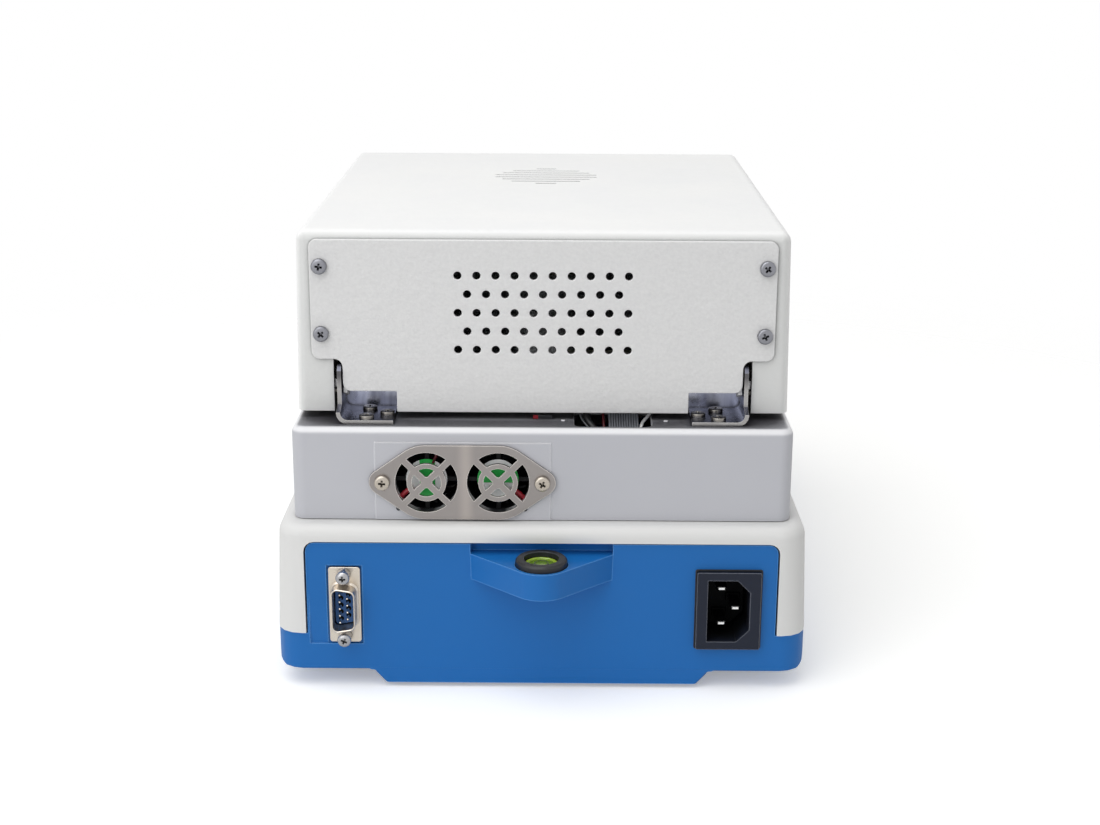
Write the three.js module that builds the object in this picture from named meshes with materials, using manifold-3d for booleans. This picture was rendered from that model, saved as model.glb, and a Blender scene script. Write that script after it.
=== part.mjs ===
// Halogen moisture analyzer with a hinged heater lid. Millimetres, +Z up.
// The operator stands at -Y, the service face with the sockets is at +Y, X is centred.
import * as THREE from "three";
import { mergeVertices } from "three/addons/utils/BufferGeometryUtils.js";
import Module from "manifold-3d";

const wasm = await Module();
wasm.setup();

// Overall stack
const BODY_WIDTH = 201;
const BODY_LENGTH = 319.5;
const SHELF_REACH = 20.5;
const BELLY_CLEARANCE = 1.8;
const BELLY_DROP = 5.2;
const PAN_BAND = 15.2;
const HOUSING_HEIGHT = 42.8;
const TRAY_HEIGHT = 36;
const LID_GAP = 2.6;
const LID_HEIGHT = 68.9;
const SEAT = 0.3;
const CUT_OVER = 1;

// Blue base pan
const PAN_WALL = 2.5;
const PAN_CORNER = 10;
const PAN_EDGE = 5;
const PAN_END_EDGE = 1.2;
const PAN_RECESS = 0.8;
const BELLY_SIDE_INSET = 41.1;
const BELLY_SLOPE = 4.7;
const BELLY_FLARE = 1.6;
const BELLY_FLARE_DROP = 1.2;
const BELLY_END = 20;
const BELLY_CORNER = 1.6;
const PANEL_SIDE_INSET = 12.2;
const PANEL_TOP_DROP = 6.7;
const PANEL_CORNER = 3.4;
const SHELF_HALF = 26.6;
const SHELF_DROP = 4.3;
const SHELF_THICK = 10.1;
const SHELF_NOSE = 11;
const SHELF_TAPER = 0.3;
const SHELF_NOTCH_DEPTH = 7;
const SHELF_NOTCH_THICK = 2;

// Bubble level on the shelf
const LEVEL_RING_RADIUS = 9.6;
const LEVEL_RING_RISE = 2.5;
const LEVEL_RING_SINK = 5;
const LEVEL_VIAL_RADIUS = 6.2;
const LEVEL_VIAL_DROP = 1.9;
const LEVEL_FLOOR = 1.5;

// White top housing with the sloping console
const HOUSING_WALL = 3;
const HOUSING_DRAFT = 1.6;
const HOUSING_SHOULDER = 4.5;
const CONSOLE_GAP = 4;
const NOSE_HEIGHT = 17.8;
const NOSE_RUN = 4;
const CONSOLE_WALL = 2.5;
const DECK_OPEN_HALF = 62;
const DECK_OPEN_FRONT = 24;
const DECK_OPEN_REAR = 38;
const PANEL_SEAM = 0.6;

// Display and keys on the console
const WINDOW_WIDTH = 92;
const WINDOW_DEPTH = 36;
const WINDOW_CENTRE = 13;
const WINDOW_THICK = 1.4;
const WINDOW_SINK = 0.3;
const SCREEN_MARGIN = 3;
const SCREEN_THICK = 2.4;
const SCREEN_INSET = 1.5;
const BOARD_THICK = 1.6;
const CONSOLE_BOARD_INSET = 14.5;
const CONSOLE_BOARD_DEPTH = 62;
const CONSOLE_BOARD_CENTRE = 1;
const POST_RADIUS = 3.2;
const POST_INSET = 6;
const CONSOLE_POST_INSET = 3.6;
const KEY_SIDE_INSET = 19.5;
const KEY_GAP = 8;
const KEY_DEPTH = 11;
const KEY_CENTRE = -20;
const KEY_RISE = 1.6;
const KEY_FLANGE = 1;
const KEY_LIP = 1.2;
const KEY_CORNER = 3;
const KEY_EDGE = 0.5;
const KEY_COUNT = 6;

// Grey chamber tray
const TRAY_SIDE_INSET = 7.1;
const TRAY_SHARE = 0.7058;
const TRAY_REAR_INSET = 8;
const TRAY_WALL = 3;
const TRAY_CORNER = 5;
const TRAY_EDGE = 3;
const CHAMBER_SHARE = 0.642;
const WELL_SHARE = 0.2885;
const WELL_WALL = 2.5;
const WELL_DEPTH = 22.5;
const WELL_FLOOR = 2.5;
const STEM_HOLE = 9;
const LIFTER_SLOT_HALF = 9;
const LIFTER_SLOT_REACH = 13.5;
const LIFTER_SLOT_DEPTH = 13;
const LIFTER_SLOT_WALL = 2;
const CABLE_OPEN_NEAR = 11.8;
const CABLE_OPEN_FAR = 40.9;
const CABLE_OPEN_DEPTH = 26;
const CABLE_OPEN_CORNER = 3;
const FAN_PAD_LEFT = 3.2;
const FAN_PAD_WIDTH = 65.5;
const FAN_PAD_DROP = 5.5;
const FAN_PAD_RAISE = 0.4;

// Sample chamber
const SHIELD_PLAY = 1;
const SHIELD_THICK = 1;
const DRAFT_RING_INSET = 3;
const DRAFT_RING_WALL = 1.2;
const DRAFT_RING_HEIGHT = 5;
const SUPPORT_STEM_RADIUS = 3;
const SUPPORT_RISE = 3;
const SUPPORT_ARM_INSET = 7;
const SUPPORT_ARM_HALF = 3;
const SUPPORT_THICK = 1.6;
const SUPPORT_TIP = 4;
const PAN_INSET = 15;
const PAN_RIM_REACH = 4;
const PAN_HEIGHT = 7;
const PAN_SHEET = 0.8;
const LIFTER_PLAY = 1.4;
const LIFTER_BAND = 4.6;
const LIFTER_THICK = 1.6;
const LIFTER_NECK_HALF = 5;
const LIFTER_TAB_HALF = 7;
const LIFTER_TAB_LENGTH = 7;
const LIFTER_TAB_END = 1.5;
const LIFTER_REST_HALF = 4;
const LIFTER_RESTS = 3;

// Load cell, boards
const CELL_WIDTH = 26;
const CELL_LENGTH = 90;
const CELL_HEIGHT = 20;
const CELL_HOLE = 6;
const CELL_HOLE_OFFSET = 12;
const CELL_FOOT_HEIGHT = 8;
const CELL_FOOT_LENGTH = 24;
const CELL_HEAD_RADIUS = 8;
const CELL_HEAD_RISE = 5;
const MAIN_BOARD_DEPTH = 120;
const POWER_BOARD_DEPTH = 110;
const BOARD_SIDE_GAP = 6;
const BOARD_CELL_GAP = 12;
const BOARD_STAND = 6;
const CHIP_HEIGHT = 4;
const COIL_HEIGHT = 16;
const TERMINAL_WIDTH = 36;
const TERMINAL_DEPTH = 9;
const TERMINAL_HEIGHT = 8;

// Fans behind the tray's service face
const FAN_CENTRE = 29.7;
const FAN_GAP = 1.7;
const FAN_HEIGHT_SHARE = 0.4587;
const FAN_SEAT = 2.5;
const FAN_DEPTH = 10;
const FAN_RIM = 0.8;
const FAN_CORNER = 3;
const FAN_HUB_SHARE = 0.592;
const FAN_STRUT_HALF = 0.8;
const FAN_STRUT_DEPTH = 1.5;
const FAN_BLADE_PLAY = 0.7;
const FAN_BLADE_THICK = 0.9;
const FAN_BLADE_CHORD = 5.4;
const FAN_BLADES = 7;
const FAN_SHAFT = 0.9;
const FAN_SHAFT_PLAY = 0.25;
const GRILLE_THICK = 1.2;
const GRILLE_LOBE_REACH = 2;
const GRILLE_END_REACH = 1.95;
const GRILLE_END_RADIUS = 5;
const GUARD_RIM = 0.9;
const guardShares = [0.638, 0.47, 0.19];
const GUARD_SPOKE_HALF = 1.25;

// Lid
const LID_SIDE_INSET = 1.2;
const LID_FRONT_INSET = 4.5;
const LID_REAR_INSET = 13;
const LID_WALL = 2;
const LID_DRAFT = 1.3;
const LID_CORNER = 3.5;
const LID_EDGE = 4;
const LID_NOTCH_PLAY = 3.4;
const LID_NOTCH_TOP = 8;
const SLOT_WIDTH = 1.7;
const SLOT_PITCH = 6;
const SLOT_SPAN = 44.8;
const slotShares = [0.208, 0.67, 0.86, 1, 1, 0.86, 0.67, 0.208];
const LINER_THICK = 1.5;
const LINER_RISE = 1;
const LINER_REAR_GAP = 18;
const LINER_LIP = 2;
const GLASS_REACH = 1;
const GLASS_THICK = 3;
const REFLECTOR_REACH = 2;
const REFLECTOR_LEAN = 14;
const REFLECTOR_HEIGHT = 32;
const REFLECTOR_WALL = 1;
const REFLECTOR_FLANGE_REACH = 5;
const LAMP_INSET = 20;
const LAMP_TUBE = 4.5;
const LAMP_LEG = 2.6;
const LAMP_LEG_OFFSET = 9;
const LAMP_HANG = 12;
const LAMP_LEG_PLAY = 1;
const SOCKET_WIDTH = 32;
const SOCKET_DEPTH = 12;
const SOCKET_HEIGHT = 10;
const PROBE_RADIUS = 2;
const PROBE_HEAD = 5;
const PROBE_HEAD_HEIGHT = 3;
const PROBE_TIP_DROP = 1.5;
const PROBE_PLAY = 0.4;
const HANDLE_HALF = 42;
const HANDLE_REACH = 17;
const HANDLE_THICK = 10;
const HANDLE_RISE = 8;
const HANDLE_CORNER = 12;
const HANDLE_EDGE = 2;
const BUMPER_RADIUS = 4;
const BUMPER_SIDE = 20;
const BUMPER_FRONT = 12;
const VENT_FOOT = 10;

// Rear plate of the lid
const PLATE_THICK = 1.5;
const PLATE_SIDE_INSET = 6.2;
const PLATE_STEP = 11.3;
const PLATE_LOW_STEP = 20.1;
const PLATE_WIDE_Z = 20.5;
const PLATE_MID_Z = 8.15;
const PLATE_LOW_Z = 0.15;
const PLATE_TOP_DROP = 3.2;
const PLATE_CORNER = 3.1;
const PLATE_HOLE_RADIUS = 1.5;
const PLATE_HOLE_PITCH = 7;
const PLATE_HOLES_SHARE = 0.086;
const plateRowCounts = [10, 9, 10, 9, 10];

// Hinge
const HINGE_REAR_GAP = 5.5;
const HINGE_RISE = 12.8;
const BRACKET_THICK = 1.5;
const BRACKET_PLAY = 0.5;
const BRACKET_INNER_STEP = 1;
const BRACKET_FRONT = 8;
const BRACKET_SIDE_REAR = 8;
const BRACKET_FOOT_REAR = 14;
const BRACKET_ROUND = 10;
const BRACKET_FLANGE_RISE = 17;
const BRACKET_BEND = 4.2;
const BRACKET_HEEL = 4.4;
const BRACKET_KNEE = 6;
const EAR_RADIUS = 5.4;
const EAR_THICK = 1.5;
const PIN_RADIUS = 2;
const PIN_PLAY = 0.25;
const PIN_HEAD_RADIUS = 3.4;
const PIN_HEAD_THICK = 2.1;
const NUT_RADIUS = 3.1;
const NUT_THICK = 2.6;

// Sockets on the base panel
const INLET_INSET = 18.1;
const INLET_RISE = 10.5;
const INLET_WIDTH = 24.2;
const INLET_HEIGHT = 31;
const INLET_FLANGE = 2.4;
const INLET_RECESS_WIDTH = 15.8;
const INLET_RECESS_HEIGHT = 24.5;
const INLET_BODY_WIDTH = 20.6;
const INLET_BODY_HEIGHT = 28;
const INLET_DEPTH = 17;
const INLET_CHAMFER = 4.8;
const INLET_CORNER = 0.7;
const BLADE_LONG = 4;
const BLADE_THIN = 2;
const BLADE_LENGTH = 12;
const BLADE_PITCH = 14;
const BLADE_PAIR_OFFSET = 1.8;
const BLADE_EARTH_OFFSET = 3.2;
const CARRIER_THICK = 2;
const SERIAL_INSET = 14.3;
const SERIAL_RISE = 11.35;
const SERIAL_WIDTH = 12;
const SERIAL_HEIGHT = 30.3;
const SERIAL_FLANGE = 1.2;
const SERIAL_FLANGE_CORNER = 1.2;
const SERIAL_REACH = 8;
const SERIAL_SHELL_WIDTH = 8.4;
const SERIAL_SHELL_HEIGHT = 17;
const SERIAL_SHELL_WALL = 0.6;
const SERIAL_TAPER = 1.4;
const SERIAL_CORNER = 1.5;
const SERIAL_BODY_DEPTH = 8;
const SERIAL_PIN_RADIUS = 0.5;
const SERIAL_PIN_PITCH = 2.76;
const SERIAL_PIN_ROW = 1.42;
const SERIAL_PIN_LENGTH = 5.8;
const POCKET_MARGIN = 0.7;
const POCKET_RAMP_DEPTH = 0.7;
const POCKET_RAMP_RISE = 21;
const POCKET_RAMP_INSET = 0.8;

// Feet
const FOOT_RADIUS = 11;
const FOOT_SIDE = 18;
const FOOT_END = 38;
const FOOT_STEM = 3;
const FOOT_STEM_RISE = 9;
const FOOT_PLAY = 0.4;
const FOOT_EDGE = 1.2;

// Cables between tray and lid
const CABLE_CORE = 2.6;
const WIRE_CORE = 0.9;
const RIBBON_WIDTH = 14.3;
const RIBBON_THICK = 1.4;
const CABLE_SLACK = 9;
const CABLE_LANE_X = 19;
const WIRE_LANE_X = 23.7;
const RIBBON_LANE_X = 32.5;

// Mesh fineness
const ARC_STEPS = 4;
const ROUND_STEPS = 32;
const HOLE_STEPS = 8;
const SMALL_STEPS = 16;
const PATH_STEPS = 12;
const SHARP = 0.05;
const WELD = 0.0001;

// Levels and planes that follow from the sizes
const bellyZ = BELLY_CLEARANCE;
const panZ = bellyZ + BELLY_DROP;
const housingZ = panZ + PAN_BAND;
const deckZ = housingZ + HOUSING_HEIGHT;
const trayZ = deckZ + SEAT;
const trayTopZ = deckZ + TRAY_HEIGHT;
const lidZ = trayTopZ + LID_GAP;
const lidTopZ = lidZ + LID_HEIGHT;
const frontY = -(BODY_LENGTH + SHELF_REACH) / 2;
const rearY = frontY + BODY_LENGTH;
const panRearY = rearY - PAN_RECESS;
const trayRearY = rearY - TRAY_REAR_INSET;
const trayFrontY = trayRearY - BODY_LENGTH * TRAY_SHARE;
const lidRearY = trayRearY - LID_REAR_INSET;
const lidFrontY = trayFrontY + LID_FRONT_INSET;
const lidDepth = lidRearY - lidFrontY;
const plateY = lidRearY + PLATE_THICK;
const hingeY = lidRearY - HINGE_REAR_GAP;
const hingeZ = trayTopZ + HINGE_RISE;
const chamberY = lidRearY - lidDepth * CHAMBER_SHARE;
const bodyHalf = BODY_WIDTH / 2;
const trayHalf = bodyHalf - TRAY_SIDE_INSET;
const lidHalf = trayHalf - LID_SIDE_INSET;
const bellyHalf = bodyHalf - BELLY_SIDE_INSET;
const panelHalf = bodyHalf - PANEL_SIDE_INSET;
const panelTopZ = deckZ - PANEL_TOP_DROP;
const inletX = -(panelHalf - INLET_INSET);
const inletZ = housingZ + INLET_RISE;
const serialX = panelHalf - SERIAL_INSET;
const serialZ = housingZ + SERIAL_RISE;
const plateWideHalf = lidHalf - PLATE_SIDE_INSET;
const plateMidHalf = plateWideHalf - PLATE_STEP;
const plateLowHalf = plateMidHalf - PLATE_LOW_STEP;
const plateTopRise = LID_HEIGHT - PLATE_TOP_DROP;
const plateHolesRise = PLATE_WIDE_Z + (plateTopRise - PLATE_WIDE_Z) * PLATE_HOLES_SHARE;
const bracketOuter = plateMidHalf + BRACKET_PLAY + BRACKET_THICK;
const bracketInner = plateLowHalf + BRACKET_INNER_STEP;
const notchHalf = plateMidHalf + LID_NOTCH_PLAY;
const consoleBoardWidth = (bodyHalf - CONSOLE_BOARD_INSET) * 2;
const keyPitch = (bodyHalf - KEY_SIDE_INSET) * 2 / KEY_COUNT;
const keyWidth = keyPitch - KEY_GAP;
const boardWidth = bodyHalf - PAN_WALL - BOARD_SIDE_GAP - CELL_WIDTH / 2 - BOARD_CELL_GAP;
const wellRadius = lidDepth * WELL_SHARE;
const draftRingRadius = wellRadius - DRAFT_RING_INSET;
const panRadius = wellRadius - PAN_INSET;
const panRim = panRadius + PAN_RIM_REACH;
const lifterInner = panRadius + LIFTER_PLAY;
const lifterOuter = lifterInner + LIFTER_BAND;
const supportArm = panRadius - SUPPORT_ARM_INSET;
const glassRadius = wellRadius + GLASS_REACH;
const reflectorRadius = wellRadius + REFLECTOR_REACH;
const reflectorTop = reflectorRadius - REFLECTOR_LEAN;
const reflectorFlange = reflectorRadius + REFLECTOR_FLANGE_REACH;
const lampRadius = wellRadius - LAMP_INSET;
const shelfTopZ = panelTopZ - SHELF_DROP + SEAT;
const shelfZ = shelfTopZ - SHELF_THICK;
const levelY = rearY + SHELF_REACH - SHELF_NOSE;
const consoleTopY = trayFrontY - CONSOLE_GAP;
const noseZ = housingZ + NOSE_HEIGHT;
const noseY = frontY + NOSE_RUN;
const slope = Math.atan2(deckZ - noseZ, consoleTopY - noseY);
const wellFloorZ = trayTopZ - WELL_DEPTH;
const shieldZ = wellFloorZ + SEAT;
const supportZ = shieldZ + SHIELD_THICK + SUPPORT_RISE;
const panRestZ = supportZ + SUPPORT_THICK + SEAT;
const panTopZ = panRestZ + PAN_HEIGHT;
const lifterTopZ = panTopZ - PAN_SHEET - SEAT;
const lifterZ = lifterTopZ - LIFTER_THICK;
const cellTopZ = deckZ - HOUSING_WALL - CELL_HEAD_RISE;
const cellZ = cellTopZ - CELL_HEIGHT;
const fanZ = trayZ + (trayTopZ - TRAY_WALL - trayZ) * FAN_HEIGHT_SHARE;
const fanHalf = fanZ - trayZ - FAN_SEAT;
const fanPitch = fanHalf * 2 + FAN_GAP;
const fanCentres = [FAN_CENTRE + fanPitch / 2, FAN_CENTRE - fanPitch / 2];
const fanBore = fanHalf - FAN_RIM;
const fanHub = fanHalf * FAN_HUB_SHARE;
const fanBladeRadius = fanBore - FAN_BLADE_PLAY;
const grilleLobe = fanHalf + GRILLE_LOBE_REACH;
const grilleEnd = fanPitch / 2 + grilleLobe + GRILLE_END_REACH;
const guardOuter = fanHalf - GUARD_RIM;
const [guardMiddle, guardInner, guardHub] = guardShares.map((share) => share * guardOuter);
const fanRearY = trayRearY - TRAY_WALL - SEAT;
const grilleY = trayRearY + FAN_PAD_RAISE;
const linerZ = lidZ + LINER_RISE;
const linerTopZ = linerZ + LINER_THICK;
const linerRearY = hingeY - LINER_REAR_GAP + BRACKET_THICK;
const glassZ = linerTopZ + SEAT;
const glassTopZ = glassZ + GLASS_THICK;
const reflectorZ = linerTopZ + SEAT;
const reflectorTopZ = reflectorZ + REFLECTOR_HEIGHT;
const lampZ = reflectorTopZ - LAMP_HANG;
const socketZ = reflectorTopZ + SEAT;

// Conversions between three geometry and exact solids
function solidOf(geometry) {
  const bare = geometry.clone();
  bare.deleteAttribute("normal");
  bare.deleteAttribute("uv");
  const welded = mergeVertices(bare, WELD);
  const vertProperties = new Float32Array(welded.attributes.position.array);
  const triVerts = new Uint32Array(welded.index.array);
  return new wasm.Manifold(new wasm.Mesh({ numProp: 3, vertProperties, triVerts }));
}

function geometryOf(solid) {
  const mesh = solid.getMesh();
  const geometry = new THREE.BufferGeometry();
  const positions = new Float32Array(mesh.numVert * 3);
  for (let i = 0; i < mesh.numVert; i += 1) {
    for (let k = 0; k < 3; k += 1) {
      positions[i * 3 + k] = mesh.vertProperties[i * mesh.numProp + k];
    }
  }
  geometry.setAttribute("position", new THREE.BufferAttribute(positions, 3));
  geometry.setIndex(new THREE.BufferAttribute(new Uint32Array(mesh.triVerts), 1));
  geometry.computeVertexNormals();
  return geometry;
}

function join(...geometries) {
  const solids = geometries.map(solidOf);
  return geometryOf(solids.reduce((sum, solid) => sum.add(solid)));
}

function cut(geometry, ...tools) {
  let solid = solidOf(geometry);
  for (const tool of tools) {
    solid = solid.subtract(solidOf(tool));
  }
  return geometryOf(solid);
}

function keep(geometry, region) {
  return geometryOf(solidOf(geometry).intersect(solidOf(region)));
}

// Plain solids
function block(xMin, xMax, yMin, yMax, zMin, zMax) {
  const geometry = new THREE.BoxGeometry(xMax - xMin, yMax - yMin, zMax - zMin);
  return geometry.translate((xMin + xMax) / 2, (yMin + yMax) / 2, (zMin + zMax) / 2);
}

function drumZ(radius, zMin, zMax, x, y, steps = ROUND_STEPS) {
  const geometry = new THREE.CylinderGeometry(radius, radius, zMax - zMin, steps);
  return geometry.rotateX(Math.PI / 2).translate(x, y, (zMin + zMax) / 2);
}

function drumY(radius, yMin, yMax, x, z, steps = SMALL_STEPS) {
  const geometry = new THREE.CylinderGeometry(radius, radius, yMax - yMin, steps);
  return geometry.translate(x, (yMin + yMax) / 2, z);
}

function drumX(radius, xMin, xMax, y, z, steps = SMALL_STEPS) {
  const geometry = new THREE.CylinderGeometry(radius, radius, xMax - xMin, steps);
  return geometry.rotateZ(Math.PI / 2).translate((xMin + xMax) / 2, y, z);
}

// A turned profile of [radius, z] points that starts and ends on the axis, or closes on itself
function turned(profile, x, y, steps = ROUND_STEPS) {
  const points = profile.map(([radius, z]) => new THREE.Vector2(radius, z));
  return new THREE.LatheGeometry(points, steps).rotateX(Math.PI / 2).translate(x, y, 0);
}

function ringZ(inner, outer, zMin, zMax, x, y, steps = ROUND_STEPS) {
  return turned([[inner, zMin], [outer, zMin], [outer, zMax], [inner, zMax], [inner, zMin]], x, y, steps);
}

// Plan outlines, counter-clockwise seen from above
function plan(xHalf, yMin, yMax, corner) {
  const radius = Math.max(corner, SHARP);
  const centres = [
    [xHalf - radius, yMin + radius, -Math.PI / 2],
    [xHalf - radius, yMax - radius, 0],
    [-xHalf + radius, yMax - radius, Math.PI / 2],
    [-xHalf + radius, yMin + radius, Math.PI],
  ];
  const points = [];
  for (const [x, y, start] of centres) {
    for (let i = 0; i <= ARC_STEPS; i += 1) {
      const angle = start + (i / ARC_STEPS) * (Math.PI / 2);
      points.push([x + radius * Math.cos(angle), y + radius * Math.sin(angle)]);
    }
  }
  return points;
}

// A solid through plan outlines at rising heights, all with the same number of points
function loft(sections) {
  const count = sections[0].points.length;
  const positions = sections.flatMap(({ z, points }) => points.flatMap(([x, y]) => [x, y, z]));
  const index = [];
  for (let k = 0; k + 1 < sections.length; k += 1) {
    for (let i = 0; i < count; i += 1) {
      const a = k * count + i;
      const b = k * count + ((i + 1) % count);
      index.push(a, b, b + count, a, b + count, a + count);
    }
  }
  const top = (sections.length - 1) * count;
  for (let i = 1; i + 1 < count; i += 1) {
    index.push(0, i + 1, i, top, top + i, top + i + 1);
  }
  const geometry = new THREE.BufferGeometry();
  geometry.setAttribute("position", new THREE.Float32BufferAttribute(positions, 3));
  geometry.setIndex(index);
  return geometry;
}

// A block with plan corners, rounded bottom and top edges and a draft that narrows its sides upward
function moulded({ xHalf, yMin, yMax, zMin, zMax, corner, bottom = 0, top = 0, draft = 0 }) {
  const sections = [];
  const add = (z, inset) => {
    const lean = draft * (z - zMin) / (zMax - zMin);
    const points = plan(xHalf - inset - lean, yMin + inset, yMax - inset, corner - inset);
    sections.push({ z, points });
  };
  for (let i = 0; i < ARC_STEPS && bottom > 0; i += 1) {
    const angle = (i / ARC_STEPS) * (Math.PI / 2);
    add(zMin + bottom * (1 - Math.cos(angle)), bottom * (1 - Math.sin(angle)));
  }
  add(zMin + bottom, 0);
  add(zMax - top, 0);
  for (let i = 1; i <= ARC_STEPS && top > 0; i += 1) {
    const angle = (i / ARC_STEPS) * (Math.PI / 2);
    add(zMax - top * (1 - Math.sin(angle)), top * (1 - Math.cos(angle)));
  }
  return loft(sections);
}

// Flat outlines
function shapeOf(points) {
  return new THREE.Shape(points.map(([u, v]) => new THREE.Vector2(u, v)));
}

function roundedShape(uMin, uMax, vMin, vMax, radius) {
  const uMid = (uMin + uMax) / 2;
  const points = plan((uMax - uMin) / 2, vMin, vMax, radius);
  return shapeOf(points.map(([u, v]) => [u + uMid, v]));
}

function hullOf(points) {
  const sorted = [...points].sort((a, b) => a[0] - b[0] || a[1] - b[1]);
  const turn = (o, a, b) => (a[0] - o[0]) * (b[1] - o[1]) - (a[1] - o[1]) * (b[0] - o[0]);
  const chain = (list) => {
    const out = [];
    for (const point of list) {
      while (out.length > 1 && turn(out[out.length - 2], out[out.length - 1], point) <= 0) {
        out.pop();
      }
      out.push(point);
    }
    out.pop();
    return out;
  };
  return [...chain(sorted), ...chain(sorted.reverse())];
}

function circlePoints(u, v, radius, steps) {
  const points = [];
  for (let i = 0; i < steps; i += 1) {
    const angle = (i / steps) * Math.PI * 2;
    points.push([u + radius * Math.cos(angle), v + radius * Math.sin(angle)]);
  }
  return points;
}

function slab(shape, depth) {
  return new THREE.ExtrudeGeometry(shape, { depth, bevelEnabled: false, curveSegments: ARC_STEPS });
}

// Outline given in X and Z, thick along Y
function slabY(shape, yMin, yMax) {
  return slab(shape, yMax - yMin).rotateX(Math.PI / 2).translate(0, yMax, 0);
}

// Outline given in Y and Z, thick along X
function slabX(shape, xMin, xMax) {
  const turnX = new THREE.Matrix4().makeBasis(
    new THREE.Vector3(0, 1, 0),
    new THREE.Vector3(0, 0, 1),
    new THREE.Vector3(1, 0, 0),
  );
  return slab(shape, xMax - xMin).applyMatrix4(turnX).translate(xMin, 0, 0);
}

// Outline given in X and Y, thick along Z
function slabZ(shape, zMin, zMax) {
  return slab(shape, zMax - zMin).translate(0, 0, zMin);
}

// The console plane: u across, v up the slope, n out of the face
const consoleFrame = new THREE.Matrix4().makeBasis(
  new THREE.Vector3(1, 0, 0),
  new THREE.Vector3(0, Math.cos(slope), Math.sin(slope)),
  new THREE.Vector3(0, -Math.sin(slope), Math.cos(slope)),
);
consoleFrame.setPosition(0, (noseY + consoleTopY) / 2, (noseZ + deckZ) / 2);

function onConsole(geometry) {
  return geometry.applyMatrix4(consoleFrame);
}

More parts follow.
